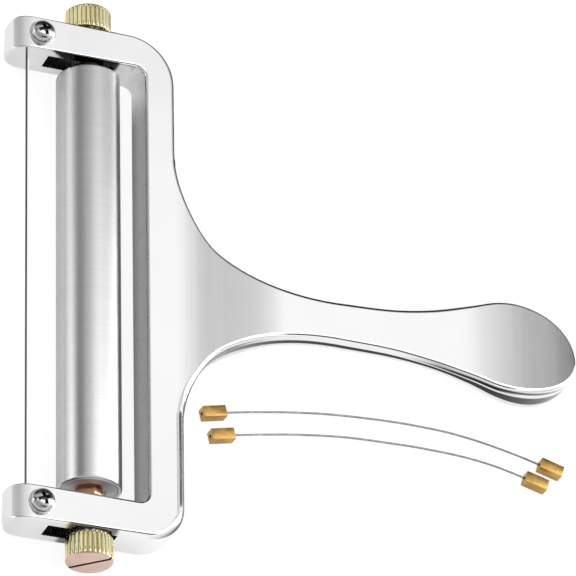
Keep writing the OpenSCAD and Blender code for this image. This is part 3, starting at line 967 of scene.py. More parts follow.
def edge_radius(place, front):
    """Rounding of the casting's edge at a place on its outline."""
    tip = TIP_EDGE_SHARE + (1 - TIP_EDGE_SHARE) * ease(place.x, *TIP_CHANGE)
    arm = sizes().arm_edge / MM * tip
    on_window = place.x < THROAT + NEAR and abs(place.y) < HALF_SPAN + NEAR
    if on_window:
        return arm
    if not front:
        grown = ease(place.x, *NECK_CHANGE) * (1 - PADDLE_BACK_LESS * ease(place.x, *PADDLE_BACK))
        return arm + (sizes().neck_edge / MM - arm) * grown
    outer, paddle = sizes().bar_edge / MM, sizes().paddle_edge / MM
    outer += (paddle - outer) * ease(place.x, *PADDLE_CHANGE)
    if place.y < 0:
        outer = paddle + (sizes().bar_edge_low / MM - paddle) * ease(-place.y, *LOW_CHANGE)
    along = place.x - (BAR_END - CORNER_R) + ARM_END - abs(place.y)
    return arm + (outer - arm) * ease(along, 0, 2 * CORNER_R)


# While the casting is flat, its faces lie this far from the middle
FLAT_HALF = 10.0
# Rings on a rounded edge
RIM_STEPS = 6


def inward_ways(cap):
    """The way inwards at each corner of a flat face, long enough to keep its border's distance."""
    ways = {}
    for loop in cap.loops:
        before = loop.vert.co - loop.link_loop_prev.vert.co
        after = loop.link_loop_next.vert.co - loop.vert.co
        first = cap.normal.cross(before).normalized()
        second = cap.normal.cross(after).normalized()
        ways[loop.vert] = (first + second) / (1 + first.dot(second))
    return ways


def round_rim(bm, cap, front):
    """Draws rings inwards from a flat face's border, each at its place on the rounded edge."""
    sign = 1 if front else -1
    cap.normal_update()
    ways = inward_ways(cap)
    known = {v: (v.co.copy(), ways[v], edge_radius(v.co, front)) for v in cap.verts}
    for k in range(RIM_STEPS + 1):
        if k:
            cap = bmesh.ops.extrude_discrete_faces(bm, faces=[cap])["faces"][0]
            known = {
                v: next(known[e.other_vert(v)] for e in v.link_edges if e.other_vert(v) in known)
                for v in cap.verts
            }
        angle = math.pi / 2 * k / RIM_STEPS
        for v, (start, way, radius) in known.items():
            v.co = start + way * radius * (1 - math.cos(angle))
            v.co.z = sign * (FLAT_HALF - radius * (1 - math.sin(angle)))


# The back leaves the bar's full thickness over this distance
BACK_START = 2.0


def thickness_at(x, front):
    """Distance of the casting's front or back from its middle."""
    if x < 0:
        return math.sqrt(max(0.0, HALF_T**2 - x**2))
    d = x - BAR_END
    if front and d < ROOT_END:
        return HALF_T * (1 - (1 - ROOT_SHARE) * ease(d, ROOT_START, ROOT_END))
    if d <= 0:
        return HALF_T
    if front:
        return HALF_T * smooth_at(FRONT_SHARES, d / HANDLE_LEN)
    share = smooth_at(BACK_SHARES, d / HANDLE_LEN)
    return HALF_T * (share + (1 - BACK_SHARES[0][1]) * (1 - ease(d, 0, BACK_START)))


# Rows of points across the casting: at the tips, one every ROOT_STEP over the root, and on the nose
TIP_ROWS, ROOT_ROWS, ROOT_STEP, NOSE_ROWS = 10, 22, 0.6, 14


def casting_stations():
    """Places along X where the casting gets a row of points across it."""
    tip = [-HALF_T * math.cos(math.pi / 2 * k / TIP_ROWS) for k in range(1, TIP_ROWS + 1)]
    root = [BAR_END + ROOT_START + ROOT_STEP * k for k in range(ROOT_ROWS)]
    handle = [BAR_END + d for d in handle_places() if BAR_END + d > root[-1] + ROOT_STEP / 2]
    nose = [
        BAR_END + HANDLE_LEN - NOSE_LEN * (1 - math.sin(math.pi / 2 * k / NOSE_ROWS))
        for k in range(1, NOSE_ROWS)
    ]
    return tip + root + handle + nose


def slot_cutter():
    """The slot through both arms, with a toothed rear wall."""
    teeth = math.floor(SLOT_LEN / TOOTH_PITCH)
    first = SLOT_START + (SLOT_LEN - teeth * TOOTH_PITCH) / 2
    low, high = -SLOT_W / 2, SLOT_W / 2
    outline = [(SLOT_START + SLOT_LEN, low), (SLOT_START + SLOT_LEN, high)]
    outline += [(SLOT_START, high), (SLOT_START, low)]
    for k in range(teeth):
        outline += [
            (first + k * TOOTH_PITCH, low),
            (first + (k + 0.5) * TOOTH_PITCH, low + TOOTH_H),
        ]
    bm = bmesh.new()
    start = -ARM_END - OVERRUN
    bm.faces.new([bm.verts.new((x, start, z)) for x, z in outline])
    grow(bm, (0, -2 * start, 0))
    return bm


def both_sides(make):
    """One bmesh that holds what make(side) draws for the top and for the bottom."""
    joined = bmesh.new()
    for side in SIDE_NAMES:
        add_part(joined, make(side))
    return joined


def pocket_cutter(side):
    """The pocket that holds a wire block, open at the casting's back."""
    y = side * ARM_Y
    return block_mesh(
        (SCREW_X - POCKET_HALF, y - POCKET_HALF, -HALF_T - OVERRUN),
        (SCREW_X + POCKET_HALF, y + POCKET_HALF, POCKET_TOP),
    )


def screw_cutter(side):
    """The hole between a pocket and the casting's front."""
    bm = rod_mesh(SCREW_HOLE_R, 0, HALF_T + OVERRUN)
    bmesh.ops.translate(bm, vec=(SCREW_X, side * ARM_Y, 0), verts=bm.verts)
    return bm


# The cut that the wire lies in: half its width, its top, and how far its inner end is moved on
WIRE_CUT_HALF, WIRE_CUT_TOP, WIRE_CUT_TURN = 0.4, 0.35, 0.7


def wire_cutter(side):
    """The cut that the wire lies in, open at the casting's back."""
    ends = HALF_SPAN - OVERRUN, ARM_Y - POCKET_HALF + OVERRUN
    near, far = sorted(side * end for end in ends)
    bm = block_mesh(
        (-WIRE_CUT_HALF, near, -HALF_T - OVERRUN), (WIRE_CUT_HALF, far, WIRE_CUT_TOP)
    )
    deep = [v for v in bm.verts if v.co.z < 0]
    bmesh.ops.translate(bm, vec=(SCREW_X, 0, 0), verts=deep)
    inner = [v for v in bm.verts if abs(v.co.y) > (HALF_SPAN + ARM_Y) / 2]
    bmesh.ops.translate(bm, vec=(WIRE_CUT_TURN, 0, 0), verts=inner)
    return bm


def casting_mesh():
    """The C-frame and handle as one casting."""
    bm = bmesh.new()
    front = bm.faces.new([bm.verts.new((x, y, FLAT_HALF)) for x, y in casting_outline()])
    back = grow(bm, (0, 0, -2 * FLAT_HALF))
    round_rim(bm, front, True)
    round_rim(bm, back, False)
    for x in casting_stations():
        bmesh.ops.bisect_plane(
            bm, geom=[*bm.verts, *bm.edges, *bm.faces], dist=1e-3, plane_co=(x, 0, 0),
            plane_no=(1, 0, 0),
        )
    depth = bm.verts.layers.float.new("depth")
    for v in bm.verts:
        front = v.co.z > 0
        drop = FLAT_HALF - abs(v.co.z)
        v[depth] = 0.5 - v.co.z / FLAT_HALF / 2
        reach = thickness_at(v.co.x, front)
        if v.co.x < 0:
            drop *= reach / HALF_T
        v.co.z = (reach - drop) * (1 if front else -1)
    bmesh.ops.remove_doubles(bm, verts=bm.verts, dist=2e-3)
    return bm


# The window's rear wall: faces that lean this far or more towards the wire, from where the
# window's corners start to this far behind the wall
WALL_LEAN, WALL_BEHIND = -0.25, 0.6


def build_casting():
    """The casting with its slot, pockets, screw holes and wire cuts."""
    cutters = [slot_cutter(), *map(both_sides, (pocket_cutter, screw_cutter, wire_cutter))]
    names = ["chrome", "slot", "window"]
    bm = carve(casting_mesh(), cutters, names[:2])
    bm.normal_update()
    for face in bm.faces:
        x = face.calc_center_median().x
        if face.normal.x < WALL_LEAN and THROAT - WINDOW_R < x < THROAT + WALL_BEHIND:
            face.material_index = names.index("window")
    finished(
        "frame_casting", bm, names, "frame_body", ["frame"], sharp=38.0,
        weighted=True,
    )


# The roller and its axle


def build_roller():
    """The roller's tube, with rounded rims."""
    rim = sizes().rim / MM
    wall = ROLLER_R - node_size("roller_cap_top").x / 2
    outline = rounded(
        [
            (ROLLER_R, -ROLLER_HALF, True), (ROLLER_R, ROLLER_HALF, True),
            (ROLLER_R - wall, ROLLER_HALF, True), (ROLLER_R - wall, -ROLLER_HALF, True),
        ],
        rim,
    )
    bm = turned(outline, 128)
    bm.transform(outwards(TOP, AXLE_X))
    finished("roller_sleeve", bm, ["roller"], "roller", ["roller_tube"])


def build_cap(side):
    """A cap in an end of the roller, with a recess around its bore."""
    node = f"roller_cap_{SIDE_NAMES[side]}"
    radius = node_size(node).x / 2
    depth = node_size(node).y
    recess_r, recess_depth, bore, soft = 3.9, 0.7, 3.05, 0.25
    outline = rounded(
        [
            (bore, 0, False), (radius, 0, True), (radius, depth, True), (recess_r, depth, True),
            (recess_r, depth - recess_depth, True), (bore, depth - recess_depth, True),
        ],
        soft,
    )
    bm = turned(outline, 96)
    bm.transform(outwards(side, AXLE_X) @ Matrix.Translation((0, 0, ROLLER_HALF - depth)))
    finished(f"end_cap_{SIDE_NAMES[side]}", bm, ["cap"], "roller", [node])


def build_bush(side):
    """A bush: a journal in the cap, a neck, a hexagon, a round collar and a threaded opening."""
    node = f"axle_bush_{SIDE_NAMES[side]}"
    start, end = node_reach(node)
    across, collar, soft, bevel = 6.4, 0.8, 0.15, 0.16
    journal_r, neck_r, bore_r, bore_depth = 3.0, 2.7, 2.0, 6.2
    corner = across / 2 / math.cos(math.pi / 6)
    journal_end = ROLLER_HALF - 1.0
    hex_start, hex_end = ROLLER_HALF + 0.5, end - collar
    neck_end = hex_start + 0.3
    bm = bmesh.new()
    bmesh.ops.create_circle(bm, cap_ends=True, segments=6, radius=corner)
    grow(bm, (0, 0, hex_end - hex_start))
    bmesh.ops.bevel(
        bm, geom=bm.edges, offset=bevel, offset_type="OFFSET", segments=2, profile=0.5,
        affect="EDGES", material=-1,
    )
    bmesh.ops.translate(bm, vec=(0, 0, hex_start), verts=bm.verts)
    collar_outline = [
        (0, hex_end, False), (corner, hex_end, True), (corner, end, True), (0, end, False),
    ]
    journal_outline = [
        (0, start, False), (journal_r, start, True), (journal_r, journal_end, True),
        (neck_r, journal_end, False), (neck_r, neck_end, False), (0, neck_end, False),
    ]
    for outline in (collar_outline, journal_outline):
        add_part(bm, turned(rounded(outline, soft), 48))
    bore = rod_mesh(bore_r, end - bore_depth, end + OVERRUN)
    solid = carve(bm, [bore], ["copper", "opening"], joined=True)
    solid.transform(outwards(side, AXLE_X))
    # The top bush gets the painted shadow copy of the copper
    outside = "shadowed copper" if side == TOP else "copper"
    finished(
        f"hex_bush_{SIDE_NAMES[side]}", solid, [outside, "opening"], "carriage",
        [node],
    )


def build_rod():
    """The tie rod inside the roller, with bevelled ends."""
    radius = node_size("axle_rod").x / 2
    half = node_size("axle_rod").y / 2
    outline = rounded(
        [(0, -half, False), (radius, -half, True), (radius, half, True), (0, half, False)], 0.3
    )
    bm = turned(outline, 40)
    bm.transform(outwards(TOP, AXLE_X))
    finished("tie_rod", bm, ["cap"], "carriage", ["axle_rod"])


# Thumbscrews and washers


def washer_outline(inner, outer, height, soft):
    """A flat ring's outline with rounded corners."""
    return rounded(
        [(inner, 0, True), (outer, 0, True), (outer, height, True), (inner, height, True)], soft
    )


# The lock washers' teeth: how many, the width of their rim, how deep the notches between them are
# and how thick the washer is left there, as a share
WASHER_TEETH, WASHER_RIM, WASHER_NOTCH, WASHER_LOW = 18, 0.6, 0.35, 0.6
WASHER_BORE_R = 2.1


def build_thumb_washer(side):
    """A toothed lock washer under a thumbscrew."""
    name = SIDE_NAMES[side]
    node = f"thumb_washer_{name}"
    size, start = node_size(node), node_reach(node)[0]
    bm = turned(washer_outline(WASHER_BORE_R, size.x / 2, size.y, 0.1), 2 * WASHER_TEETH)
    for v in bm.verts:
        radius = math.hypot(v.co.x, v.co.y)
        tooth = round(math.atan2(v.co.y, v.co.x) / math.tau * 2 * WASHER_TEETH) % 2
        if tooth and radius > size.x / 2 - WASHER_RIM:
            v.co *= (radius - WASHER_NOTCH) / radius if v.co.z > 0 else 1.0
            v.co.z = min(v.co.z, size.y * WASHER_LOW)
    bm.transform(outwards(side, AXLE_X) @ Matrix.Translation((0, 0, start)))
    finished(
        f"thumb_washer_ring_{name}", bm, ["washer"], f"thumb_washer_{name}_body",
        [node],
    )


KNOB_LEN = 6.0
# From this height up a knob's end is turned smooth
KNOB_END = 5.52
# How far each driver slot is turned, in degrees
KNOB_TURNS = {TOP: 150.0, BOTTOM: 44.0}
POINTS_A_RIDGE = 8
# A power that makes the grooves narrower than the ridges
GROOVE_POWER = 1.4


def knob_mesh(radius):
    """A knurled knob standing on Z = 0, without its driver slot."""
    count = sizes().knurl_count
    depth = sizes().knurl_depth / MM
    # Each row: height, radius at the ridges and how deep the grooves are there, as a share
    rows = [
        (0.0, radius - 0.45, 0.0), (0.12, radius - 0.25, 0.1), (0.35, radius - 0.04, 0.85),
        (0.5, radius, 1.0), (2.2, radius, 1.0), (3.9, radius, 1.0), (5.3, radius, 1.0),
        (5.5, radius - 0.05, 0.7), (5.6, radius - 0.1, 0.0), (5.75, radius - 0.15, 0.0),
        (5.92, radius - 0.35, 0.0), (KNOB_LEN, radius - 0.6, 0.0),
    ]
    bm = bmesh.new()
    groove = bm.verts.layers.float.new("groove")
    bmesh.ops.create_circle(
        bm, cap_ends=True, segments=count * POINTS_A_RIDGE, radius=rows[0][1]
    )
    bm.faces.ensure_lookup_table()
    cap = bm.faces[0]
    for number, (height, reach, share) in enumerate(rows):
        if number:
            cap = bmesh.ops.extrude_discrete_faces(bm, faces=[cap])["faces"][0]
        for v in cap.verts:
            angle = math.atan2(v.co.y, v.co.x)
            dip = (0.5 - 0.5 * math.cos(count * angle)) ** GROOVE_POWER * share
            v[groove] = dip
            v.co = Vector((math.cos(angle), math.sin(angle), 0)) * (reach - depth * dip)
            v.co.z = height
    for inset in (1.1, 1.6):
        bmesh.ops.inset_region(bm, faces=[cap], thickness=inset, use_even_offset=True)
    bmesh.ops.holes_fill(bm, edges=bm.edges, sides=0)
    bmesh.ops.recalc_face_normals(bm, faces=bm.faces)
    for face in bm.faces:
        if face.calc_center_median().z > KNOB_END:
            face.material_index = 1
    return bm


def shank_outline(start, end):
    """Outline of a threaded shank between its end and the knob, which it reaches into."""
    radius, pitch, dip, crest = 1.95, 0.7, 0.28, 0.12
    lead, chamfer, plain_len, plain_r, into_knob = 0.3, 0.35, 2.0, radius - 0.1, 0.4
    outline = [(0, start), (radius - chamfer, start)]
    height = start + lead
    while height < end - plain_len:
        outline += [(radius, height), (radius, height + crest), (radius - dip, height + pitch / 2)]
        height += pitch
    return outline + [(plain_r, height), (plain_r, end + into_knob), (0, end + into_knob)]


def build_thumbscrew(side):
    """A knurled knob with a driver slot across its copper-coloured end and a threaded shank."""
    name = SIDE_NAMES[side]
    node = f"thumbscrew_{name}"
    inner, outer = node_reach(node)
    radius = node_size(node).x / 2
    slot_half, slot_depth = 0.4, 1.5
    slot = block_mesh(
        (-2 * radius, -slot_half, KNOB_LEN - slot_depth),
        (2 * radius, slot_half, KNOB_LEN + OVERRUN),
    )
    slot.transform(Matrix.Rotation(math.radians(KNOB_TURNS[side]), 4, "Z"))
    names = ["knurl", "end", "opening"]
    bm = carve(knob_mesh(radius), [slot], names)
    bm.transform(Matrix.Translation((0, 0, outer - KNOB_LEN)))
    add_part(bm, turned(shank_outline(inner, outer - KNOB_LEN), 40))
    bm.transform(outwards(side, AXLE_X))
    finished(f"thumb_knob_{name}", bm, names, f"thumb_{name}", [node], sharp=40.0)


# Tension screws, blocks and wires


def build_tension_washer(side):
    """A flat washer under a pan-head screw."""
    node = f"tension_washer_{SIDE_NAMES[side]}"
    size = node_size(node)
    bm = turned(washer_outline(SCREW_HOLE_R, size.x / 2, size.z, 0.12), 64)
    bm.transform(Matrix.Translation((SCREW_X, side * ARM_Y, HALF_T)))
    finished(
        f"flat_washer_{SIDE_NAMES[side]}", bm, ["screw"], "frame_body", [node]
    )


def recess_cutter(turn, top):
    """One arm pair of a tapered cross recess."""
    half_len, half_width, depth = 2.05, 0.5, 1.3
    bm = block_mesh((-half_len, -half_width, top - depth), (half_len, half_width, top + OVERRUN))
    deep = [v for v in bm.verts if v.co.z < top]
    bmesh.ops.scale(bm, vec=(0.45, 0.7, 1.0), verts=deep)
    bm.transform(Matrix.Rotation(turn, 4, "Z"))
    return bm


def build_tension_screw(side):
    """A pan-head screw with a tapered cross recess."""
    name = SIDE_NAMES[side]
    node = f"tension_screw_{name}"
    bottom, top = node_heights(node)
    head_r = node_size(node).x / 2
    head_h, side_h, flat_top, seat_edge = 2.1, 0.75, 0.06, 0.2
    shank_r, point_r, point_len = 1.0, 0.6, 0.4
    seat = top - head_h
    outline = [(0, bottom), (point_r, bottom), (shank_r, bottom + point_len), (shank_r, seat)]
    outline += [(head_r - seat_edge, seat), (head_r, seat + seat_edge)]
    for a in map(math.radians, range(90, -1, -9)):
        height = seat + side_h + (head_h - side_h) * math.cos(a)
        outline.append((head_r * math.sin(a), min(height, top - flat_top)))
    turn = math.radians(20)
    cutters = [recess_cutter(turn, top), recess_cutter(turn + math.pi / 2, top)]
    bm = carve(turned(outline, 64), cutters, ["screw", "recess"])
    bm.transform(Matrix.Translation((SCREW_X, side * ARM_Y, 0)))
    finished(
        f"pan_screw_{name}", bm, ["screw", "recess"], f"tension_{name}", [node],
        sharp=40.0,
    )


BLOCK_W = 2.8
BLOCK_LEN = 5.8
BLOCK_HOLE_R = 1.05
WIRE_HOLE_R = 0.42
WIRE_HOLE_DEPTH = 0.8


def block_with_opening(depth, wire_hole=True, opening_r=BLOCK_HOLE_R):
    """A square block below Z = 0 with an opening in its top and a small one for the wire below."""
    half = BLOCK_W / 2
    base = block_mesh((-half, -half, -BLOCK_LEN), (half, half, 0), sizes().block_edge / MM)
    cutters = [rod_mesh(opening_r, -depth, OVERRUN, 36)]
    if wire_hole:
        cutters.append(
            rod_mesh(WIRE_HOLE_R, -BLOCK_LEN - OVERRUN, WIRE_HOLE_DEPTH - BLOCK_LEN, 20)
        )
    return carve(base, cutters, ["block", "opening"])


def build_wire_block(side):
    """A wire block in its pocket inside an arm."""
    name = SIDE_NAMES[side]
    node = f"wire_block_{name}"
    top = node_heights(node)[1]
    bm = block_with_opening(BLOCK_LEN - BLOCK_W / 4, wire_hole=False)
    bm.transform(Matrix.Translation((SCREW_X, side * ARM_Y, top)))
    finished(
        f"tension_block_{name}", bm, ["block", "opening"], f"block_{name}", [node]
    )


def build_cutting_wire():
    """The taut wire between the arms."""
    radius = sizes().wire / MM / 2
    bm = rod_mesh(radius, -HALF_SPAN, HALF_SPAN, 24)
    bmesh.ops.subdivide_edges(
        bm, edges=[e for e in bm.edges if e.calc_length() > HALF_SPAN], cuts=15
    )
    bm.transform(outwards(TOP, 0.0))
    finished(
        "taut_wire", bm, ["wire"], "frame_body", ["cutting_wire"], sharp=50.0
    )


def build_wire_tail(side):
    """The wire's end inside an arm, bent between the inner face and its block."""
    name = SIDE_NAMES[side]
    node = f"wire_tail_{name}"
    radius = sizes().wire / MM / 2
    start = Vector((0, side * HALF_SPAN, 0))
    end = Vector((SCREW_X - BLOCK_W / 4, side * (ARM_Y - BLOCK_W / 2), 0))
    bm = rod_mesh(radius, 0, (end - start).length, 24)
    bmesh.ops.subdivide_edges(
        bm, edges=[e for e in bm.edges if e.calc_length() > 1.0], cuts=7
    )
    bm.transform((end - start).to_track_quat("Z", "Y").to_matrix().to_4x4())
    bm.transform(Matrix.Translation(start))
    for v in bm.verts:
        v.co.y = max(v.co.y, start.y) if side == TOP else min(v.co.y, start.y)
    made = finished(f"wire_end_{name}", bm, ["wire"], None, [node], sharp=50.0)
    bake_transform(made)


def spare_route(number):
    """A spare wire's points in metres."""
    return [Vector(p) * MM for p in SPARE_ROUTES[number]]


def build_spare_block(number, end):
    """A block at an end of a spare wire, lying on the table."""
    node = f"spare_block_{number}_{end}"
    route = SPARE_ROUTES[number]
    at = route[0] if end == "left" else route[-1]
    turn = math.radians(SPARE_TURNS[end])
    radius = sizes().wire / MM / 2
    if end == "left":
        bm = block_with_opening(WIRE_HOLE_DEPTH, opening_r=WIRE_HOLE_R)
    else:
        bm = block_with_opening(BLOCK_LEN - BLOCK_W / 2)
    bm.transform(
        Matrix.Translation((at[0], at[1], BLOCK_W / 2))
        @ Matrix.Rotation(turn, 4, "Z")
        @ Matrix.Rotation(math.pi / 2, 4, "Y")
        @ Matrix.Translation((0, 0, BLOCK_LEN + radius / 2))
    )
    bm.transform(TO_ROW.inverted() @ Matrix.Scale(MM, 4))
    return finished(
        f"end_block_{number}_{end}", bm, ["block", "opening"], f"spare_{number}",
        [node],
    )


def build_spare(number):
    """A spare wire that lies on the table, with a square block at each end."""
    route = spare_route(number)
    curve = bpy.data.curves.new(f"spare_cord_{number}", "CURVE")
    curve.dimensions = "3D"
    curve.resolution_u = 4
    curve.bevel_depth = sizes().wire / 2
    curve.bevel_resolution = 4
    curve.use_fill_caps = True
    spline = curve.splines.new("BEZIER")
    spline.bezier_points.add(len(route) - 1)
    for point, place in zip(spline.bezier_points, route):
        point.co = place
        point.handle_left_type = point.handle_right_type = "AUTO"
    curve.materials.append(material("spare"))
    made = placed(f"spare_cord_{number}", curve)
    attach(made, f"spare_{number}")
    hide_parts(f"spare_wire_{number}")
    blocks = [build_spare_block(number, end) for end in SPARE_TURNS]


# Stage

# The camera's sensor and lens in millimetres
SENSOR, LENS = 36.0, 371.1
# The floor's size in metres, its colour, roughness and glow, and how much of the glow camera and
# glass rays see, and mirror rays
FLOOR_SIZE, FLOOR_COLOUR, FLOOR_ROUGH, FLOOR_GLOW = 3.0, (0.92, 0.92, 0.93, 1), 0.9, 1.12
FLOOR_SEEN, FLOOR_MIRRORED = 0.75, 0.3
# The lamp's place and size in metres, and its power
LAMP_AT, LAMP_SIZE, LAMP_POWER = (0.45, 0.5, 0.9), 0.9, 3.0


def build_camera():
    """The camera at the photograph's place, angle and lens."""
    data = bpy.data.cameras.new("photo_camera")
    data.sensor_width, data.lens = SENSOR, LENS
    data.clip_start, data.clip_end = 0.05, 20.0
    camera = placed("photo_camera", data)
    turn = Matrix((CAMERA_RIGHT, CAMERA_UP, CAMERA_BACK)).transposed()
    turn = turn.to_quaternion().to_matrix().to_4x4()
    camera.matrix_world = Matrix.Translation(TO_ROW @ Vector(CAMERA_AT)) @ turn
    bpy.context.scene.camera = camera


def ray_share(nodes, links, camera, glossy):
    """The camera share for camera and glass rays, the glossy share for mirror rays, else 0."""
    path = nodes.new("ShaderNodeLightPath")
    seen = maths(
        nodes, links, "MAXIMUM", path.outputs["Is Camera Ray"], path.outputs["Is Transmission Ray"]
    )
    mirrored = maths(nodes, links, "MULTIPLY", path.outputs["Is Glossy Ray"], glossy)
    return maths(nodes, links, "MULTIPLY_ADD", seen, camera, mirrored)


def build_floor():
    """A plain pale floor that keeps the slicer's shadow."""
    bm = bmesh.new()
    bmesh.ops.create_grid(bm, x_segments=1, y_segments=1, size=FLOOR_SIZE)
    floor = placed("floor", mesh_from("floor", bm))
    paint = bpy.data.materials.new("floor_white")
    paint.use_nodes = True
    nodes, links = paint.node_tree.nodes, paint.node_tree.links
    shader = nodes["Principled BSDF"]
    shader.inputs["Base Color"].default_value = FLOOR_COLOUR
    shader.inputs["Roughness"].default_value = FLOOR_ROUGH
    shader.inputs["Specular IOR Level"].default_value = 0.1
    glow = nodes.new("ShaderNodeEmission")
    glow.inputs["Strength"].default_value = FLOOR_GLOW
    mix = nodes.new("ShaderNodeMixShader")
    links.new(ray_share(nodes, links, FLOOR_SEEN, FLOOR_MIRRORED), mix.inputs["Fac"])
    links.new(shader.outputs["BSDF"], mix.inputs[1])
    links.new(glow.outputs["Emission"], mix.inputs[2])
    links.new(mix.outputs["Shader"], nodes["Material Output"].inputs["Surface"])
    floor.data.materials.append(paint)


# The studio as polished metal shows it. A direction's lean is its angle from straight up towards
# +X, and its height here is its Y. Each row of light is a lean in degrees and how light the studio
# is there. GAP_LIGHT holds above GAP_LOW, where the flat fronts look, and BAND_LIGHT below it,
# where the brushed roller blurs it into its stripes.
GAP_LIGHT = [
    (-110, 1.1), (-84, 1.0), (-72, 0.8), (-52, 0.8), (-40, 0.9), (-25, 1.1), (-5, 1.2), (13, 1.33),
    (24, 1.33), (28, 1.22), (33, 1.0), (36, 0.87), (40, 0.78), (48, 0.61), (57, 0.385), (65, 0.14),
    (75, 0.05), (92, 0.05), (100, 0.5),
]
BAND_LIGHT = [
    (-110, 2.8), (-90, 3.6), (-79, 4.7), (-66, 1.9), (-56, 0.03), (-42, 0.05), (-31, 1.0),
    (-15, 1.9), (5, 4.2), (45, 5.6), (72, 10.0), (82, 11.0), (95, 12.0), (110, 9.0),
]
BRIGHTEST = 12.0
# Heights of the studio's parts, and the share of light in each. Each pair of heights, and each
# pair of leans in degrees, runs from no effect to full effect. TOP_ARM and LOW_ARM are where the
# fronts of the upper and the lower arm look.
GAP_LOW = (0.42, 0.39)
STRIP_LOW, STRIP_HIGH, STRIP_SHARE = (0.27, 0.3), (0.42, 0.39), 0.12
BACK, BACK_SHARE = (0.62, 0.72), 0.05
TOP_ARM, TOP_ARM_SHARE = (0.49, 0.535), 0.8
LOW_ARM, LOW_ARM_SHARE = (0.465, 0.44), 0.91
# Behind the camera the bands are weaker, but never darker than LOW_LEAST
LOW, LOW_SHARE, LOW_LEAST = (0.07, -0.02), 0.25, 0.7
SIDE, SIDE_LEAN, SIDE_SHARE = (0.1, 0.0), (56, 64), 0.4
# A dark panel low behind the camera, which draws the dark lines along the lower edges
PANEL_HIGH, PANEL_LOW, PANEL_SHARE = (-0.3, -0.4), (-0.74, -0.62), 0.02
PANEL_LEFT, PANEL_RIGHT = (-12, -2), (44, 36)


def light_ramp(nodes, links, lean, rows):
    """How light the studio is at a lean, from rows of (degrees, light)."""
    ramp = nodes.new("ShaderNodeValToRGB")
    turn = maths(nodes, links, "MULTIPLY_ADD", lean, 1 / math.tau, 0.5)
    links.new(turn, ramp.inputs["Fac"])
    elements = ramp.color_ramp.elements
    places = [degrees / 360 + 0.5 for degrees, light in rows]
    elements[0].position, elements[1].position = places[0], places[-1]
    for place in places[1:-1]:
        elements.new(place)
    for element, (degrees, light) in zip(elements, rows):
        element.color = (light / BRIGHTEST,) * 3 + (1.0,)
    return maths(nodes, links, "MULTIPLY", ramp.outputs["Color"], BRIGHTEST)


def dimmed(nodes, links, level, share, *masks):
    """The level, brought down to a share of itself where all the masks are 1."""
    mask = masks[0]
    for other in masks[1:]:
        mask = maths(nodes, links, "MULTIPLY", mask, other)
    factor = maths(nodes, links, "MULTIPLY_ADD", mask, share - 1.0, 1.0)
    return maths(nodes, links, "MULTIPLY", level, factor)


def studio_shades(nodes, links):
    """How light the studio is in each direction, as polished metal shows it."""
    way = nodes.new("ShaderNodeTexCoord").outputs["Generated"]
    split = nodes.new("ShaderNodeSeparateXYZ")
    links.new(way, split.inputs["Vector"])
    x, y, z = split.outputs
    lean = maths(nodes, links, "ARCTAN2", x, z)

    def high(pair):
        return soft_step(nodes, links, y, *pair)

    def leaning(pair):
        return soft_step(nodes, links, lean, *map(math.radians, pair))

    gap = light_ramp(nodes, links, lean, GAP_LIGHT)
    band = light_ramp(nodes, links, lean, BAND_LIGHT)
    span = maths(nodes, links, "SUBTRACT", band, gap)
    level = maths(nodes, links, "MULTIPLY_ADD", span, high(GAP_LOW), gap)
    level = dimmed(nodes, links, level, STRIP_SHARE, high(STRIP_LOW), high(STRIP_HIGH))
    level = dimmed(nodes, links, level, BACK_SHARE, high(BACK))
    level = dimmed(nodes, links, level, LOW_SHARE, high(LOW))
    least = maths(nodes, links, "MULTIPLY", high(LOW), LOW_LEAST)
    level = maths(nodes, links, "MAXIMUM", level, least)
    level = dimmed(nodes, links, level, TOP_ARM_SHARE, high(TOP_ARM))
    level = dimmed(nodes, links, level, LOW_ARM_SHARE, high(LOW_ARM))
    level = dimmed(nodes, links, level, SIDE_SHARE, high(SIDE), leaning(SIDE_LEAN))
    return dimmed(
        nodes, links, level, PANEL_SHARE, high(PANEL_HIGH), high(PANEL_LOW), leaning(PANEL_LEFT),
        leaning(PANEL_RIGHT),
    )


def build_world():
    """A plain white studio for the light, and its bright and dark parts for reflections."""
    world = bpy.data.worlds.new("studio")
    bpy.context.scene.world = world
    world.use_nodes = True
    nodes, links = world.node_tree.nodes, world.node_tree.links
    plain = nodes["Background"]
    plain.inputs["Color"].default_value = (1, 1, 1, 1)
    plain.inputs["Strength"].default_value = 1.0
    shown = nodes.new("ShaderNodeBackground")
    level = studio_shades(nodes, links)
    glossy = nodes.new("ShaderNodeLightPath").outputs["Is Glossy Ray"]
    clear = maths(nodes, links, "SUBTRACT", 1.0, glossy)
    level = maths(nodes, links, "MULTIPLY_ADD", level, glossy, clear)
    links.new(level, shown.inputs["Strength"])
    mix = nodes.new("ShaderNodeMixShader")
    links.new(ray_share(nodes, links, 1.0, 1.0), mix.inputs["Fac"])
    links.new(plain.outputs["Background"], mix.inputs[1])
    links.new(shown.outputs["Background"], mix.inputs[2])
    links.new(mix.outputs["Shader"], nodes["World Output"].inputs["Surface"])


def build_lamp():
    """A soft lamp, which reflections don't show."""
    data = bpy.data.lights.new("soft_key", "AREA")
    data.shape = "SQUARE"
    data.size, data.energy = LAMP_SIZE, LAMP_POWER
    lamp = placed("soft_key", data)
    lamp.location = LAMP_AT
    lamp.visible_glossy = False
    lamp.rotation_mode = "QUATERNION"
    lamp.rotation_quaternion = Vector(LAMP_AT).to_track_quat("Z", "Y")


# Operators and panel


class SLICER_OT_camera(bpy.types.Operator):
    """Place the camera where the photograph was taken from"""

    bl_idname = "slicer.camera"
    bl_label = "Camera"

    def execute(self, context):
        build_camera()
        return {"FINISHED"}


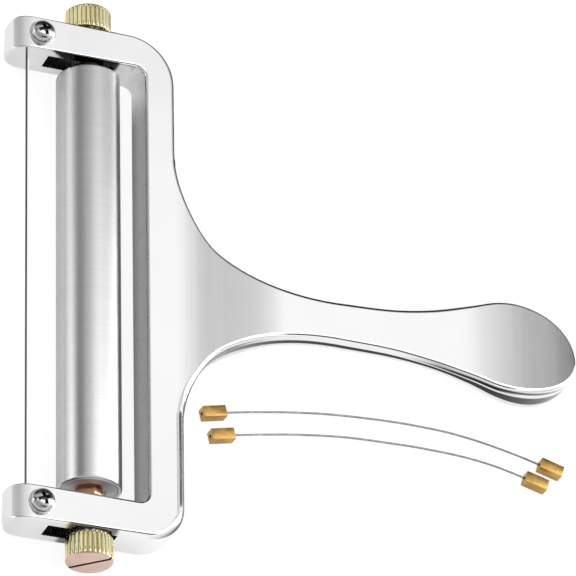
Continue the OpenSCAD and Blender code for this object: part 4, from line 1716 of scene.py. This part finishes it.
class SLICER_OT_spares(bpy.types.Operator):
    """Lay the spare wires and their blocks on the table"""

    bl_idname = "slicer.spares"
    bl_label = "Spare wires"

    def execute(self, context):
        for number in SPARE_ROUTES:
            build_spare(number)
        return {"FINISHED"}


class SLICER_OT_casting(bpy.types.Operator):
    """Build the C-frame and handle"""

    bl_idname = "slicer.casting"
    bl_label = "Casting"

    def execute(self, context):
        build_casting()
        return {"FINISHED"}


class SLICER_OT_roller(bpy.types.Operator):
    """Build the roller and its end caps"""

    bl_idname = "slicer.roller"
    bl_label = "Roller"

    def execute(self, context):
        build_roller()
        for side in SIDE_NAMES:
            build_cap(side)
        return {"FINISHED"}


class SLICER_OT_axle(bpy.types.Operator):
    """Build the tie rod and the two hexagonal bushes"""

    bl_idname = "slicer.axle"
    bl_label = "Axle"

    def execute(self, context):
        build_rod()
        for side in SIDE_NAMES:
            build_bush(side)
        return {"FINISHED"}


class SLICER_OT_thumbscrews(bpy.types.Operator):
    """Build the knurled thumbscrews and their washers"""

    bl_idname = "slicer.thumbscrews"
    bl_label = "Thumbscrews"

    def execute(self, context):
        for side in SIDE_NAMES:
            build_thumb_washer(side)
            build_thumbscrew(side)
        return {"FINISHED"}


class SLICER_OT_tension(bpy.types.Operator):
    """Build the pan-head screws, their washers and the wire blocks"""

    bl_idname = "slicer.tension"
    bl_label = "Tension screws"

    def execute(self, context):
        for side in SIDE_NAMES:
            build_tension_washer(side)
            build_tension_screw(side)
            build_wire_block(side)
        return {"FINISHED"}


class SLICER_OT_wire(bpy.types.Operator):
    """String the cutting wire between the arms"""

    bl_idname = "slicer.wire"
    bl_label = "Cutting wire"

    def execute(self, context):
        build_cutting_wire()
        return {"FINISHED"}


class SLICER_OT_wire_ends(bpy.types.Operator):
    """Bend the wire's ends into the arms"""

    bl_idname = "slicer.wire_ends"
    bl_label = "Wire ends"

    def execute(self, context):
        for side in SIDE_NAMES:
            build_wire_tail(side)
        return {"FINISHED"}


class SLICER_OT_stage(bpy.types.Operator):
    """Set up the floor, the world and the lamp"""

    bl_idname = "slicer.stage"
    bl_label = "Stage"

    def execute(self, context):
        build_floor()
        build_world()
        build_lamp()
        return {"FINISHED"}


OPERATORS = [
    SLICER_OT_camera,
    SLICER_OT_spares,
    SLICER_OT_casting,
    SLICER_OT_roller,
    SLICER_OT_axle,
    SLICER_OT_thumbscrews,
    SLICER_OT_tension,
    SLICER_OT_wire,
    SLICER_OT_wire_ends,
    SLICER_OT_stage,
]


class SLICER_PT_panel(bpy.types.Panel):
    """Buttons for each group of the slicer's pieces"""

    bl_label = "Wire Cheese Slicer"
    bl_idname = "SLICER_PT_panel"
    bl_space_type = "VIEW_3D"
    bl_region_type = "UI"
    bl_category = "Slicer"

    def draw(self, context):
        for operator in OPERATORS:
            self.layout.operator(operator.bl_idname)
        for group in (context.scene.slicer_sizes, context.scene.slicer_colours):
            for key in group.bl_rna.properties.keys():
                if key not in ("rna_type", "name"):
                    self.layout.prop(group, key)


CLASSES = [SlicerSizes, SlicerColours, *OPERATORS, SLICER_PT_panel]


def register():
    for cls in CLASSES:
        bpy.utils.register_class(cls)
    bpy.types.Scene.slicer_sizes = bpy.props.PointerProperty(type=SlicerSizes)
    bpy.types.Scene.slicer_colours = bpy.props.PointerProperty(type=SlicerColours)


def unregister():
    del bpy.types.Scene.slicer_sizes
    del bpy.types.Scene.slicer_colours
    for cls in reversed(CLASSES):
        bpy.utils.unregister_class(cls)


def main():
    """Builds the slicer and its stage."""
    register()
    for operator in OPERATORS:
        category, name = operator.bl_idname.split(".")
        getattr(getattr(bpy.ops, category), name)()
    bpy.context.scene.view_settings.view_transform = "Standard"


if __name__ == "__main__":
    main()
